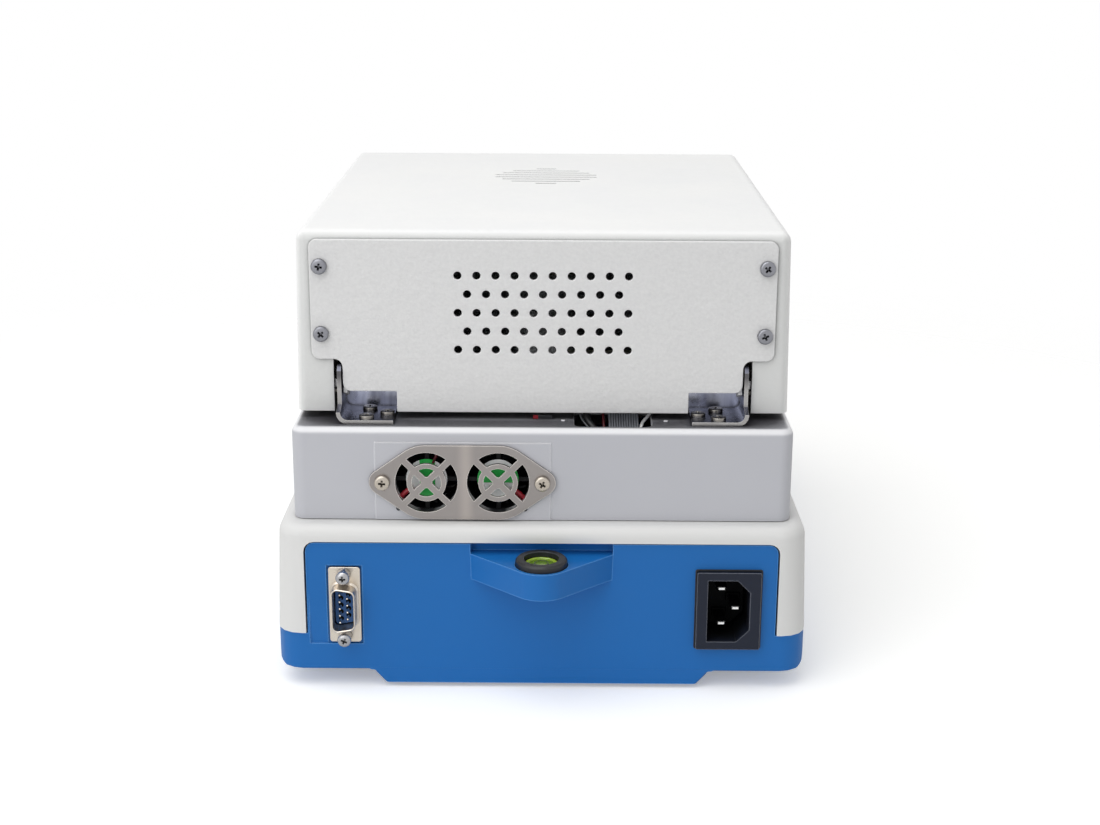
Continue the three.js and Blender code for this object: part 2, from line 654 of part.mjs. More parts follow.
// Blue pan: underside, belly, service panel and the shelf for the level
function basePan() {
  const panFrontY = frontY;
  const band = {
    xHalf: bodyHalf,
    yMin: panFrontY,
    yMax: panRearY,
    zMin: panZ,
    zMax: housingZ - SEAT,
    corner: PAN_CORNER,
    bottom: PAN_END_EDGE,
  };
  const sidesShape = roundedShape(-bodyHalf, bodyHalf, panZ, housingZ + PAN_EDGE * 2, PAN_EDGE);
  const sides = slabY(sidesShape, panFrontY - CUT_OVER, panRearY + CUT_OVER);
  const bellyPlan = (reach) => plan(
    bellyHalf + reach, panFrontY + BELLY_END - reach, panRearY - SHARP * 2, BELLY_CORNER,
  );
  const flareStart = BELLY_SLOPE * (BELLY_DROP - BELLY_FLARE_DROP) / BELLY_DROP;
  const bellySections = [{ z: bellyZ, points: bellyPlan(0) }];
  for (let i = 0; i <= ARC_STEPS; i += 1) {
    const angle = (i / ARC_STEPS) * (Math.PI / 2);
    const reach = flareStart + (BELLY_SLOPE + BELLY_FLARE - flareStart) * (1 - Math.cos(angle));
    const z = panZ - BELLY_FLARE_DROP * (1 - Math.sin(angle));
    bellySections.push({ z, points: bellyPlan(reach) });
  }
  bellySections.push({ z: panZ + PAN_WALL, points: bellyPlan(BELLY_SLOPE + BELLY_FLARE) });
  const bellyOuter = loft(bellySections);
  const bellyInner = loft([
    {
      z: bellyZ + PAN_WALL,
      points: plan(bellyHalf - PAN_WALL, panFrontY + BELLY_END + PAN_WALL, panRearY - PAN_WALL, BELLY_CORNER),
    },
    {
      z: panZ + PAN_WALL + CUT_OVER,
      points: plan(bellyHalf, panFrontY + BELLY_END, panRearY - PAN_WALL, BELLY_CORNER),
    },
  ]);
  const bandInner = moulded({
    xHalf: bodyHalf - PAN_WALL,
    yMin: panFrontY + PAN_WALL,
    yMax: panRearY - PAN_WALL,
    zMin: panZ + PAN_WALL,
    zMax: housingZ + CUT_OVER,
    corner: PAN_CORNER - PAN_WALL,
  });
  const panelShape = roundedShape(-panelHalf, panelHalf, panZ + PAN_WALL, panelTopZ, PANEL_CORNER);
  const panel = slabY(panelShape, panRearY - PAN_WALL, panRearY);
  const shelf = shelfWedge();
  let pan = cut(join(keep(moulded(band), sides), bellyOuter), bellyInner, bandInner);
  pan = join(pan, panel, shelf);
  const notch = block(
    -SHELF_HALF, SHELF_HALF,
    panRearY - SHELF_NOTCH_THICK, panRearY + CUT_OVER,
    shelfTopZ, panelTopZ - SHARP * 4,
  );
  const notchBack = block(
    -SHELF_HALF - PAN_WALL, SHELF_HALF + PAN_WALL,
    panRearY - SHELF_NOTCH_DEPTH, panRearY - SHARP,
    shelfZ, panelTopZ - SHARP * 2,
  );
  const notchRoom = block(
    -SHELF_HALF, SHELF_HALF,
    panRearY - SHELF_NOTCH_DEPTH + PAN_WALL, panRearY + CUT_OVER,
    shelfTopZ, panelTopZ + CUT_OVER,
  );
  pan = cut(join(pan, notchBack), notch, notchRoom);
  const levelSeat = drumZ(
    LEVEL_RING_RADIUS + SEAT,
    shelfTopZ - LEVEL_RING_SINK - SEAT, panelTopZ + CUT_OVER,
    0, levelY,
  );
  const inletOpening = block(
    inletX - INLET_BODY_WIDTH / 2 - SEAT, inletX + INLET_BODY_WIDTH / 2 + SEAT,
    panRearY - PAN_WALL - CUT_OVER, panRearY + CUT_OVER,
    inletZ - INLET_BODY_HEIGHT / 2 - SEAT, inletZ + INLET_BODY_HEIGHT / 2 + SEAT,
  );
  const serialOpening = block(
    serialX - SERIAL_WIDTH / 2 - POCKET_MARGIN, serialX + SERIAL_WIDTH / 2 + POCKET_MARGIN,
    panRearY - SERIAL_FLANGE, panRearY + CUT_OVER,
    serialZ - SERIAL_HEIGHT / 2 - POCKET_MARGIN, serialZ + SERIAL_HEIGHT / 2 + POCKET_MARGIN,
  );
  const serialThrough = block(
    serialX - SERIAL_SHELL_WIDTH / 2 - SEAT, serialX + SERIAL_SHELL_WIDTH / 2 + SEAT,
    panRearY - PAN_WALL - CUT_OVER, panRearY,
    serialZ - SERIAL_SHELL_HEIGHT / 2 - SEAT, serialZ + SERIAL_SHELL_HEIGHT / 2 + SEAT,
  );
  pan = cut(pan, levelSeat, inletOpening, serialOpening, serialThrough, pocketRamp());
  const cellPlinth = block(
    -CELL_WIDTH / 2, CELL_WIDTH / 2,
    cellRootY() - CELL_FOOT_LENGTH, cellRootY(),
    bellyZ + PAN_WALL - SHARP, cellZ - CELL_FOOT_HEIGHT - SEAT,
  );
  pan = join(pan, cellPlinth, ...boardPosts(-1, boardWidth, MAIN_BOARD_DEPTH));
  pan = join(pan, ...boardPosts(1, boardWidth, POWER_BOARD_DEPTH));
  return cut(pan, ...footPlaces().map(([x, y]) => footHole(x, y)));
}

// The panel sinks slightly beside the serial pocket, deepest at its foot
function pocketRamp() {
  const foot = serialZ - SERIAL_HEIGHT / 2 - POCKET_MARGIN;
  const shape = shapeOf([
    [panRearY - POCKET_RAMP_DEPTH, foot],
    [panRearY + CUT_OVER, foot],
    [panRearY + CUT_OVER, foot + POCKET_RAMP_RISE],
    [panRearY, foot + POCKET_RAMP_RISE],
  ]);
  return slabX(shape, serialX + SERIAL_WIDTH / 2, panelHalf - POCKET_RAMP_INSET);
}

// Wedge shelf under the level, with a round nose
function shelfWedge() {
  const nose = circlePoints(0, levelY, SHELF_NOSE, ROUND_STEPS);
  const root = [[-SHELF_HALF, panRearY - PAN_WALL / 2], [SHELF_HALF, panRearY - PAN_WALL / 2]];
  const edge = [[-SHELF_HALF, panRearY], [SHELF_HALF, panRearY]];
  const upper = hullOf([...nose, ...root, ...edge]);
  const lower = upper.map(([x, y]) => [x * (1 - SHELF_TAPER / SHELF_HALF), Math.min(y, rearY + SHELF_REACH)]);
  return loft([{ z: shelfZ, points: lower }, { z: shelfTopZ, points: upper }]);
}

function footPlaces() {
  const x = bodyHalf - FOOT_SIDE;
  return [[x, rearY - FOOT_END], [-x, rearY - FOOT_END], [x, frontY + FOOT_END], [-x, frontY + FOOT_END]];
}

function footHole(x, y) {
  return drumZ(FOOT_STEM + FOOT_PLAY, bellyZ, panZ + PAN_WALL + CUT_OVER, x, y, SMALL_STEPS);
}

function cellRootY() {
  return chamberY + CELL_LENGTH;
}

function boardCentreY(depth) {
  return panRearY - PAN_WALL - INLET_DEPTH - BOARD_SIDE_GAP - depth / 2;
}

function boardCentreX(side, width) {
  return side * (bodyHalf - PAN_WALL - BOARD_SIDE_GAP - width / 2);
}

function boardPosts(side, width, depth) {
  const x = boardCentreX(side, width);
  const y = boardCentreY(depth);
  const dx = width / 2 - POST_INSET;
  const dy = depth / 2 - POST_INSET;
  const base = panZ + PAN_WALL - SHARP;
  const seat = base + BOARD_STAND;
  const corners = [[dx, dy], [-dx, dy], [dx, -dy], [-dx, -dy]];
  const floor = (postX) => (Math.abs(postX) < bellyHalf ? bellyZ : panZ) + SHARP;
  return corners.map(([a, b]) => drumZ(POST_RADIUS, floor(x + a), seat, x + a, y + b, HOLE_STEPS));
}

// White housing: side walls, deck, sloping console with its openings
function consoleLineY(z) {
  return noseY + (z - noseZ) / Math.tan(slope);
}

function topHousing() {
  const top = deckZ;
  const shoulder = top - HOUSING_SHOULDER;
  const half = (z) => bodyHalf - HOUSING_DRAFT * (z - housingZ) / HOUSING_HEIGHT;
  const outer = [{ z: housingZ, points: plan(half(housingZ), frontY, rearY, PAN_CORNER) }];
  for (let i = 0; i < ARC_STEPS; i += 1) {
    const angle = (i / ARC_STEPS) * (Math.PI / 2 - slope);
    const z = noseZ - NOSE_RUN * (1 - Math.sin(angle));
    const y = frontY + NOSE_RUN * (1 - Math.cos(angle));
    outer.push({ z, points: plan(half(z), y, rearY, PAN_CORNER) });
  }
  outer.push({ z: noseZ, points: plan(half(noseZ), noseY, rearY, PAN_CORNER) });
  for (let i = 0; i <= ARC_STEPS; i += 1) {
    const angle = (i / ARC_STEPS) * (Math.PI / 2);
    const z = shoulder + HOUSING_SHOULDER * Math.sin(angle);
    const inset = HOUSING_SHOULDER * (1 - Math.cos(angle));
    outer.push({ z, points: plan(half(z) - inset, consoleLineY(z), rearY - inset, PAN_CORNER - inset) });
  }
  const wallShift = CONSOLE_WALL / Math.sin(slope);
  const innerFront = frontY + HOUSING_WALL;
  const breakZ = noseZ + Math.tan(slope) * (innerFront - wallShift - noseY);
  const ceiling = top - HOUSING_WALL;
  const corner = PAN_CORNER - HOUSING_WALL;
  const innerPlan = (z, y) => plan(half(z) - HOUSING_WALL, y, rearY - HOUSING_WALL, corner);
  const inner = [
    { z: housingZ - CUT_OVER, points: innerPlan(housingZ, innerFront) },
    { z: breakZ, points: innerPlan(breakZ, innerFront) },
    { z: ceiling, points: innerPlan(ceiling + HOUSING_SHOULDER / 2, consoleLineY(ceiling) + wallShift) },
  ];
  const deckOpening = moulded({
    xHalf: DECK_OPEN_HALF,
    yMin: chamberY - DECK_OPEN_FRONT,
    yMax: trayRearY - DECK_OPEN_REAR,
    zMin: ceiling - CUT_OVER,
    zMax: top + CUT_OVER,
    corner: PAN_CORNER,
  });
  const rearShape = roundedShape(
    -panelHalf - PANEL_SEAM, panelHalf + PANEL_SEAM,
    housingZ - PANEL_CORNER - CUT_OVER, panelTopZ + PANEL_SEAM,
    PANEL_CORNER + PANEL_SEAM,
  );
  const rearOpening = slabY(rearShape, rearY - HOUSING_WALL - CUT_OVER, rearY + CUT_OVER);
  let housing = cut(loft(outer), loft(inner), deckOpening, rearOpening);
  const window = onConsole(slabZ(
    roundedShape(
      -WINDOW_WIDTH / 2, WINDOW_WIDTH / 2,
      WINDOW_CENTRE - WINDOW_DEPTH / 2, WINDOW_CENTRE + WINDOW_DEPTH / 2,
      KEY_CORNER,
    ),
    -CONSOLE_WALL - CUT_OVER, CUT_OVER,
  ));
  housing = cut(housing, window, ...keyCentres().map((u) => keyOpening(u)));
  return join(housing, ...consolePosts());
}

function keyCentres() {
  const centres = [];
  for (let i = 0; i < KEY_COUNT; i += 1) {
    centres.push((i - (KEY_COUNT - 1) / 2) * keyPitch);
  }
  return centres;
}

function keyOutline(u, grow) {
  return roundedShape(
    u - keyWidth / 2 - grow, u + keyWidth / 2 + grow,
    KEY_CENTRE - KEY_DEPTH / 2 - grow, KEY_CENTRE + KEY_DEPTH / 2 + grow,
    KEY_CORNER + grow,
  );
}

function keyOpening(u) {
  return onConsole(slabZ(keyOutline(u, SEAT), -CONSOLE_WALL - CUT_OVER, CUT_OVER));
}

const consoleBoardTop = -CONSOLE_WALL - SEAT - SCREEN_THICK - SEAT;

function consolePosts() {
  const u = consoleBoardWidth / 2 - CONSOLE_POST_INSET;
  const v = CONSOLE_BOARD_DEPTH / 2 - CONSOLE_POST_INSET;
  const corners = [[u, v], [-u, v], [u, -v], [-u, -v]];
  return corners.map(([a, b]) => onConsole(
    drumZ(POST_RADIUS, consoleBoardTop + SEAT, -CONSOLE_WALL + SHARP, a, CONSOLE_BOARD_CENTRE + b, HOLE_STEPS),
  ));
}

function displayWindow() {
  const shape = roundedShape(
    -WINDOW_WIDTH / 2 + SEAT, WINDOW_WIDTH / 2 - SEAT,
    WINDOW_CENTRE - WINDOW_DEPTH / 2 + SEAT, WINDOW_CENTRE + WINDOW_DEPTH / 2 - SEAT,
    KEY_CORNER - SEAT,
  );
  return onConsole(slabZ(shape, -WINDOW_SINK - WINDOW_THICK, -WINDOW_SINK));
}

function displayModule() {
  const halfU = WINDOW_WIDTH / 2;
  const halfV = WINDOW_DEPTH / 2;
  const top = -CONSOLE_WALL - SEAT;
  const frame = block(
    -halfU - SCREEN_MARGIN, halfU + SCREEN_MARGIN,
    WINDOW_CENTRE - halfV - SCREEN_MARGIN, WINDOW_CENTRE + halfV + SCREEN_MARGIN,
    top - SCREEN_THICK, top,
  );
  const glass = block(
    -halfU + SCREEN_INSET, halfU - SCREEN_INSET,
    WINDOW_CENTRE - halfV + SCREEN_INSET, WINDOW_CENTRE + halfV - SCREEN_INSET,
    top - SHARP, -WINDOW_SINK - WINDOW_THICK - SEAT,
  );
  return onConsole(join(frame, glass));
}

function consoleBoard() {
  const u = consoleBoardWidth / 2;
  const v = CONSOLE_BOARD_DEPTH / 2;
  return onConsole(block(
    -u, u, CONSOLE_BOARD_CENTRE - v, CONSOLE_BOARD_CENTRE + v,
    consoleBoardTop - BOARD_THICK, consoleBoardTop,
  ));
}

function consoleKey(u) {
  const flangeTop = -CONSOLE_WALL - SEAT;
  const flange = slabZ(keyOutline(u, KEY_LIP), flangeTop - KEY_FLANGE, flangeTop);
  const body = slabZ(keyOutline(u, 0), flangeTop - SHARP, KEY_RISE - KEY_EDGE);
  const chamfer = loft([
    { z: KEY_RISE - KEY_EDGE - SHARP, points: keyPlan(u, 0) },
    { z: KEY_RISE, points: keyPlan(u, -KEY_EDGE) },
  ]);
  return onConsole(join(flange, body, chamfer));
}

function keyPlan(u, grow) {
  const points = plan(
    keyWidth / 2 + grow,
    KEY_CENTRE - KEY_DEPTH / 2 - grow, KEY_CENTRE + KEY_DEPTH / 2 + grow,
    KEY_CORNER + grow,
  );
  return points.map(([x, y]) => [x + u, y]);
}

// Grey tray: skirt, well for the sample, recess for the lifter tab, openings for fans and cables
function chamberTray() {
  const outer = moulded({
    xHalf: trayHalf,
    yMin: trayFrontY,
    yMax: trayRearY,
    zMin: trayZ,
    zMax: trayTopZ,
    corner: TRAY_CORNER,
    top: TRAY_EDGE,
  });
  const inner = moulded({
    xHalf: trayHalf - TRAY_WALL,
    yMin: trayFrontY + TRAY_WALL,
    yMax: trayRearY - TRAY_WALL,
    zMin: trayZ - CUT_OVER,
    zMax: trayTopZ - TRAY_WALL,
    corner: TRAY_CORNER - TRAY_WALL,
  });
  const pad = block(
    -FAN_PAD_LEFT, FAN_PAD_WIDTH - FAN_PAD_LEFT,
    trayRearY - SHARP, trayRearY + FAN_PAD_RAISE,
    trayZ, trayTopZ - FAN_PAD_DROP,
  );
  const wellBody = drumZ(wellRadius + WELL_WALL, wellFloorZ - WELL_FLOOR, trayTopZ - SHARP * 2, 0, chamberY);
  const slotY = chamberY - wellRadius - LIFTER_SLOT_REACH;
  const slotZ = trayTopZ - LIFTER_SLOT_DEPTH;
  const slotBody = block(
    -LIFTER_SLOT_HALF - LIFTER_SLOT_WALL, LIFTER_SLOT_HALF + LIFTER_SLOT_WALL,
    slotY - LIFTER_SLOT_WALL, chamberY - wellRadius,
    slotZ - LIFTER_SLOT_WALL, trayTopZ - SHARP * 2,
  );
  const wellRoom = drumZ(wellRadius, wellFloorZ, trayTopZ + CUT_OVER, 0, chamberY);
  const slotRoom = block(
    -LIFTER_SLOT_HALF, LIFTER_SLOT_HALF,
    slotY, chamberY - wellRadius / 2,
    slotZ, trayTopZ + CUT_OVER,
  );
  const stemRoom = drumZ(STEM_HOLE, trayZ, wellFloorZ + CUT_OVER, 0, chamberY, SMALL_STEPS);
  const cableShape = roundedShape(
    -CABLE_OPEN_FAR, -CABLE_OPEN_NEAR,
    trayRearY - TRAY_WALL - CABLE_OPEN_DEPTH, trayRearY - TRAY_WALL,
    CABLE_OPEN_CORNER,
  );
  const cableRoom = slabZ(cableShape, trayTopZ - TRAY_WALL - CUT_OVER, trayTopZ + CUT_OVER);
  const fanRooms = fanCentres.map((x) => drumY(
    guardOuter + SEAT, trayRearY - TRAY_WALL - CUT_OVER, trayRearY + FAN_PAD_RAISE + CUT_OVER, x, fanZ, ROUND_STEPS,
  ));
  const shell = cut(join(outer, pad), inner);
  return cut(join(shell, wellBody, slotBody), wellRoom, slotRoom, stemRoom, cableRoom, ...fanRooms);
}

// Service plate with two fan guards
function guardSlot(x, z, inner, outer, turn) {
  const spread = (radius) => Math.PI / 4 - Math.asin(GUARD_SPOKE_HALF / radius);
  const points = [];
  const arc = (radius, from, to) => {
    for (let i = 0; i <= ARC_STEPS; i += 1) {
      const angle = turn + from + (to - from) * (i / ARC_STEPS);
      points.push([x + radius * Math.cos(angle), z + radius * Math.sin(angle)]);
    }
  };
  arc(outer, -spread(outer), spread(outer));
  arc(inner, spread(inner), -spread(inner));
  return new THREE.Path(points.map(([u, v]) => new THREE.Vector2(u, v)));
}

function fanGrille() {
  const outline = hullOf([
    ...fanCentres.flatMap((x) => circlePoints(x, fanZ, grilleLobe, ROUND_STEPS)),
    ...circlePoints(FAN_CENTRE + grilleEnd, fanZ, GRILLE_END_RADIUS, SMALL_STEPS),
    ...circlePoints(FAN_CENTRE - grilleEnd, fanZ, GRILLE_END_RADIUS, SMALL_STEPS),
  ]);
  const shape = shapeOf(outline);
  for (const x of fanCentres) {
    for (let k = 0; k < 4; k += 1) {
      const turn = k * Math.PI / 2;
      shape.holes.push(guardSlot(x, fanZ, guardMiddle, guardOuter, turn));
      shape.holes.push(guardSlot(x, fanZ, guardHub, guardInner, turn));
    }
  }
  return slabY(shape, grilleY, grilleY + GRILLE_THICK);
}

function fanHousing(x) {
  const half = fanHalf;
  const shape = roundedShape(x - half, x + half, fanZ - half, fanZ + half, FAN_CORNER);
  const body = slabY(shape, fanRearY - FAN_DEPTH, fanRearY);
  const bore = drumY(fanBore, fanRearY - FAN_DEPTH - CUT_OVER, fanRearY + CUT_OVER, x, fanZ, ROUND_STEPS);
  const strutFrom = fanRearY - FAN_STRUT_DEPTH;
  const acrossX = block(
    x - fanBore - SHARP, x + fanBore + SHARP, strutFrom, fanRearY, fanZ - FAN_STRUT_HALF, fanZ + FAN_STRUT_HALF,
  );
  const acrossZ = block(
    x - FAN_STRUT_HALF, x + FAN_STRUT_HALF, strutFrom, fanRearY, fanZ - fanBore - SHARP, fanZ + fanBore + SHARP,
  );
  const hub = drumY(fanHub, strutFrom, fanRearY, x, fanZ);
  const bearing = drumY(FAN_SHAFT + FAN_SHAFT_PLAY, strutFrom - CUT_OVER, fanRearY - FAN_STRUT_HALF, x, fanZ, HOLE_STEPS);
  return cut(join(cut(body, bore), acrossX, acrossZ, hub), bearing);
}

function fanRotor(x) {
  const rear = fanRearY - FAN_STRUT_DEPTH - SEAT;
  const front = fanRearY - FAN_DEPTH + SEAT;
  const hub = drumY(fanHub, front, rear, x, fanZ);
  const shaft = drumY(FAN_SHAFT, rear - SHARP, fanRearY - FAN_STRUT_HALF - FAN_SHAFT_PLAY, x, fanZ, HOLE_STEPS);
  const blades = [];
  const length = fanBladeRadius - fanHub / 2;
  for (let i = 0; i < FAN_BLADES; i += 1) {
    const blade = new THREE.BoxGeometry(length, FAN_BLADE_CHORD, FAN_BLADE_THICK);
    blade.rotateX(Math.PI / 5);
    blade.translate(fanHub / 2 + length / 2, 0, 0);
    blade.rotateY((i / FAN_BLADES) * Math.PI * 2);
    blade.translate(x, (front + rear) / 2, fanZ);
    blades.push(blade);
  }
  const swept = drumY(fanBladeRadius, front, rear, x, fanZ, ROUND_STEPS);
  return join(keep(join(hub, ...blades), swept), shaft);
}

// Sample chamber pieces
function heatShield() {
  return ringZ(STEM_HOLE, wellRadius - SHIELD_PLAY, shieldZ, shieldZ + SHIELD_THICK, 0, chamberY);
}

function draftRing() {
  const low = shieldZ + SHIELD_THICK + SEAT;
  const ring = ringZ(draftRingRadius - DRAFT_RING_WALL, draftRingRadius, low, low + DRAFT_RING_HEIGHT, 0, chamberY);
  const rests = [];
  for (let i = 0; i < LIFTER_RESTS; i += 1) {
    const rest = block(
      lifterOuter - LIFTER_REST_HALF, draftRingRadius - DRAFT_RING_WALL / 2,
      -LIFTER_REST_HALF, LIFTER_REST_HALF, low, lifterZ - SEAT,
    );
    rest.rotateZ((i / LIFTER_RESTS) * Math.PI * 2 + Math.PI / 2);
    rests.push(rest.translate(0, chamberY, 0));
  }
  return join(ring, ...rests);
}

function panSupport() {
  const hub = drumZ(SUPPORT_TIP + SUPPORT_STEM_RADIUS, supportZ, supportZ + SUPPORT_THICK, 0, chamberY, SMALL_STEPS);
  const stem = drumZ(SUPPORT_STEM_RADIUS, deckZ - HOUSING_WALL + SEAT, supportZ + SHARP, 0, chamberY, SMALL_STEPS);
  const arms = [];
  for (let i = 0; i < 3; i += 1) {
    const arm = join(
      block(0, supportArm, -SUPPORT_ARM_HALF, SUPPORT_ARM_HALF, supportZ, supportZ + SUPPORT_THICK),
      drumZ(SUPPORT_TIP, supportZ, supportZ + SUPPORT_THICK, supportArm, 0, SMALL_STEPS),
    );
    arm.rotateZ((i / 3) * Math.PI * 2 + Math.PI / 6);
    arms.push(arm.translate(0, chamberY, 0));
  }
  return join(hub, stem, ...arms);
}

function samplePan() {
  return turned([
    [0, panRestZ],
    [panRadius - PAN_SHEET, panRestZ],
    [panRadius, panRestZ + PAN_SHEET],
    [panRadius + PAN_SHEET / 2, panTopZ - PAN_SHEET],
    [panRim, panTopZ - PAN_SHEET],
    [panRim, panTopZ],
    [panRadius - PAN_SHEET / 2, panTopZ],
    [panRadius - PAN_SHEET, panRestZ + PAN_SHEET * 2],
    [panRadius - PAN_SHEET * 2, panRestZ + PAN_SHEET],
    [0, panRestZ + PAN_SHEET],
  ], 0, chamberY);
}

function panLifter() {
  const ring = ringZ(lifterInner, lifterOuter, lifterZ, lifterTopZ, 0, chamberY);
  const tabEnd = chamberY - wellRadius - LIFTER_SLOT_REACH + LIFTER_TAB_END;
  const neck = block(
    -LIFTER_NECK_HALF, LIFTER_NECK_HALF,
    tabEnd, chamberY - lifterOuter + LIFTER_THICK,
    lifterZ, lifterTopZ,
  );
  const tab = block(
    -LIFTER_TAB_HALF, LIFTER_TAB_HALF, tabEnd, tabEnd + LIFTER_TAB_LENGTH, lifterZ, lifterTopZ + LIFTER_THICK,
  );
  return join(ring, neck, tab);
}

function loadCell() {
  const half = CELL_WIDTH / 2;
  const body = block(-half, half, chamberY - half, cellRootY(), cellZ, cellTopZ);
  const foot = block(-half, half, cellRootY() - CELL_FOOT_LENGTH, cellRootY(), cellZ - CELL_FOOT_HEIGHT, cellZ + SHARP);
  const head = drumZ(CELL_HEAD_RADIUS, cellTopZ - SHARP, cellTopZ + CELL_HEAD_RISE, 0, chamberY, SMALL_STEPS);
  const middleY = (chamberY + cellRootY() - half) / 2;
  const middleZ = (cellZ + cellTopZ) / 2;
  const holes = [-CELL_HOLE_OFFSET, CELL_HOLE_OFFSET].map((offset) => drumX(
    CELL_HOLE, -half - CUT_OVER, half + CUT_OVER, middleY + offset, middleZ,
  ));
  const slit = block(
    -half - CUT_OVER, half + CUT_OVER, middleY - CELL_HOLE_OFFSET, middleY + CELL_HOLE_OFFSET,
    middleZ - CELL_HOLE / 3, middleZ + CELL_HOLE / 3,
  );
  return cut(join(body, foot, head), ...holes, slit);
}

function circuitBoard(side, width, depth, tall) {
  const x = boardCentreX(side, width);
  const y = boardCentreY(depth);
  const low = panZ + PAN_WALL + BOARD_STAND + SEAT - SHARP;
  const board = block(x - width / 2, x + width / 2, y - depth / 2, y + depth / 2, low, low + BOARD_THICK);
  const top = low + BOARD_THICK - SHARP;
  const chip = block(x - width / 5, x + width / 5, y - depth / 3, y - depth / 7, top, top + CHIP_HEIGHT);
  const coil = block(x - width / 3, x + width / 4, y + depth / 8, y + depth / 3, top, top + tall);
  return join(board, chip, coil);
}

// Service panel sockets
function powerInlet() {
  const x = inletX;
  const face = panRearY + INLET_FLANGE;
  const flange = slabY(
    roundedShape(
      x - INLET_WIDTH / 2, x + INLET_WIDTH / 2,
      inletZ - INLET_HEIGHT / 2, inletZ + INLET_HEIGHT / 2, INLET_CORNER,
    ),
    panRearY + SHARP, face,
  );
  const body = block(
    x - INLET_BODY_WIDTH / 2, x + INLET_BODY_WIDTH / 2,
    panRearY - INLET_DEPTH, panRearY + SHARP * 2,
    inletZ - INLET_BODY_HEIGHT / 2, inletZ + INLET_BODY_HEIGHT / 2,
  );
  const recess = slabY(inletRecessShape(x, 0), panRearY - INLET_DEPTH - CUT_OVER, face + CUT_OVER);
  return cut(join(flange, body), recess);
}

function inletRecessShape(x, shrink) {
  const halfW = INLET_RECESS_WIDTH / 2 - shrink;
  const halfH = INLET_RECESS_HEIGHT / 2 - shrink;
  return shapeOf([
    [x - halfW + INLET_CHAMFER, inletZ - halfH],
    [x + halfW, inletZ - halfH],
    [x + halfW, inletZ + halfH],
    [x - halfW + INLET_CHAMFER, inletZ + halfH],
    [x - halfW, inletZ + halfH - INLET_CHAMFER],
    [x - halfW, inletZ - halfH + INLET_CHAMFER],
  ]);
}

function inletContacts() {
  const x = inletX;
  const back = panRearY - INLET_DEPTH;
  const carrier = slabY(inletRecessShape(x, SEAT), back, back + CARRIER_THICK);
  const blade = (dx, dz) => block(
    x + dx - BLADE_LONG / 2, x + dx + BLADE_LONG / 2,
    back + CARRIER_THICK - SHARP, back + CARRIER_THICK + BLADE_LENGTH,
    inletZ + dz - BLADE_THIN / 2, inletZ + dz + BLADE_THIN / 2,
  );
  return join(
    carrier,
    blade(BLADE_PAIR_OFFSET, BLADE_PITCH / 2),
    blade(BLADE_PAIR_OFFSET, -BLADE_PITCH / 2),
    blade(-BLADE_EARTH_OFFSET, 0),
  );
}

function serialShape(shrink) {
  const halfW = SERIAL_SHELL_WIDTH / 2 - shrink;
  const halfH = SERIAL_SHELL_HEIGHT / 2 - shrink;
  const corner = SERIAL_CORNER;
  const lean = SERIAL_TAPER;
  return shapeOf([
    [serialX - halfW, serialZ - halfH + lean + corner],
    [serialX - halfW + corner, serialZ - halfH + lean],
    [serialX + halfW - corner, serialZ - halfH],
    [serialX + halfW, serialZ - halfH + corner],
    [serialX + halfW, serialZ + halfH - corner],
    [serialX + halfW - corner, serialZ + halfH],
    [serialX - halfW + corner, serialZ + halfH - lean],
    [serialX - halfW, serialZ + halfH - lean - corner],
  ]);
}

function serialShell() {
  const seat = panRearY - SERIAL_FLANGE + SHARP;
  const flange = slabY(
    roundedShape(
      serialX - SERIAL_WIDTH / 2, serialX + SERIAL_WIDTH / 2,
      serialZ - SERIAL_HEIGHT / 2, serialZ + SERIAL_HEIGHT / 2, SERIAL_FLANGE_CORNER,
    ),
    seat, seat + SERIAL_FLANGE,
  );
  const sleeve = slabY(serialShape(0), seat + SHARP, seat + SERIAL_REACH);
  const room = slabY(serialShape(SERIAL_SHELL_WALL), seat - CUT_OVER, seat + SERIAL_REACH + CUT_OVER);
  return cut(join(flange, sleeve), room);
}

function serialInsert() {
  const seat = panRearY - SERIAL_FLANGE + SHARP;
  const floor = seat + SERIAL_FLANGE;
  const plug = slabY(serialShape(SERIAL_SHELL_WALL + SEAT / 2), seat - SERIAL_BODY_DEPTH, floor);
  const pins = [];
  for (let row = 0; row < 2; row += 1) {
    const count = 5 - row;
    for (let i = 0; i < count; i += 1) {
      const z = serialZ + (i - (count - 1) / 2) * SERIAL_PIN_PITCH;
      const x = serialX + SERIAL_PIN_ROW * (1 - 2 * row);
      pins.push(drumY(SERIAL_PIN_RADIUS, floor - SHARP, floor + SERIAL_PIN_LENGTH - SERIAL_FLANGE, x, z, HOLE_STEPS / 2));
    }
  }
  return join(plug, ...pins);
}

// Level on the shelf
function levelRing() {
  const low = shelfTopZ - LEVEL_RING_SINK;
  const top = shelfTopZ + LEVEL_RING_RISE;
  return turned([
    [0, low],
    [LEVEL_RING_RADIUS, low],
    [LEVEL_RING_RADIUS, top - LEVEL_FLOOR / 2],
    [LEVEL_RING_RADIUS - LEVEL_FLOOR / 2, top],
    [LEVEL_VIAL_RADIUS + SEAT, top],
    [LEVEL_VIAL_RADIUS + SEAT, low + LEVEL_FLOOR],
    [0, low + LEVEL_FLOOR],
  ], 0, levelY);
}

function levelVial() {
  const low = shelfTopZ - LEVEL_RING_SINK + LEVEL_FLOOR + SEAT;
  const top = shelfTopZ + LEVEL_RING_RISE - LEVEL_VIAL_DROP;
  return drumZ(LEVEL_VIAL_RADIUS, low, top, 0, levelY);
}

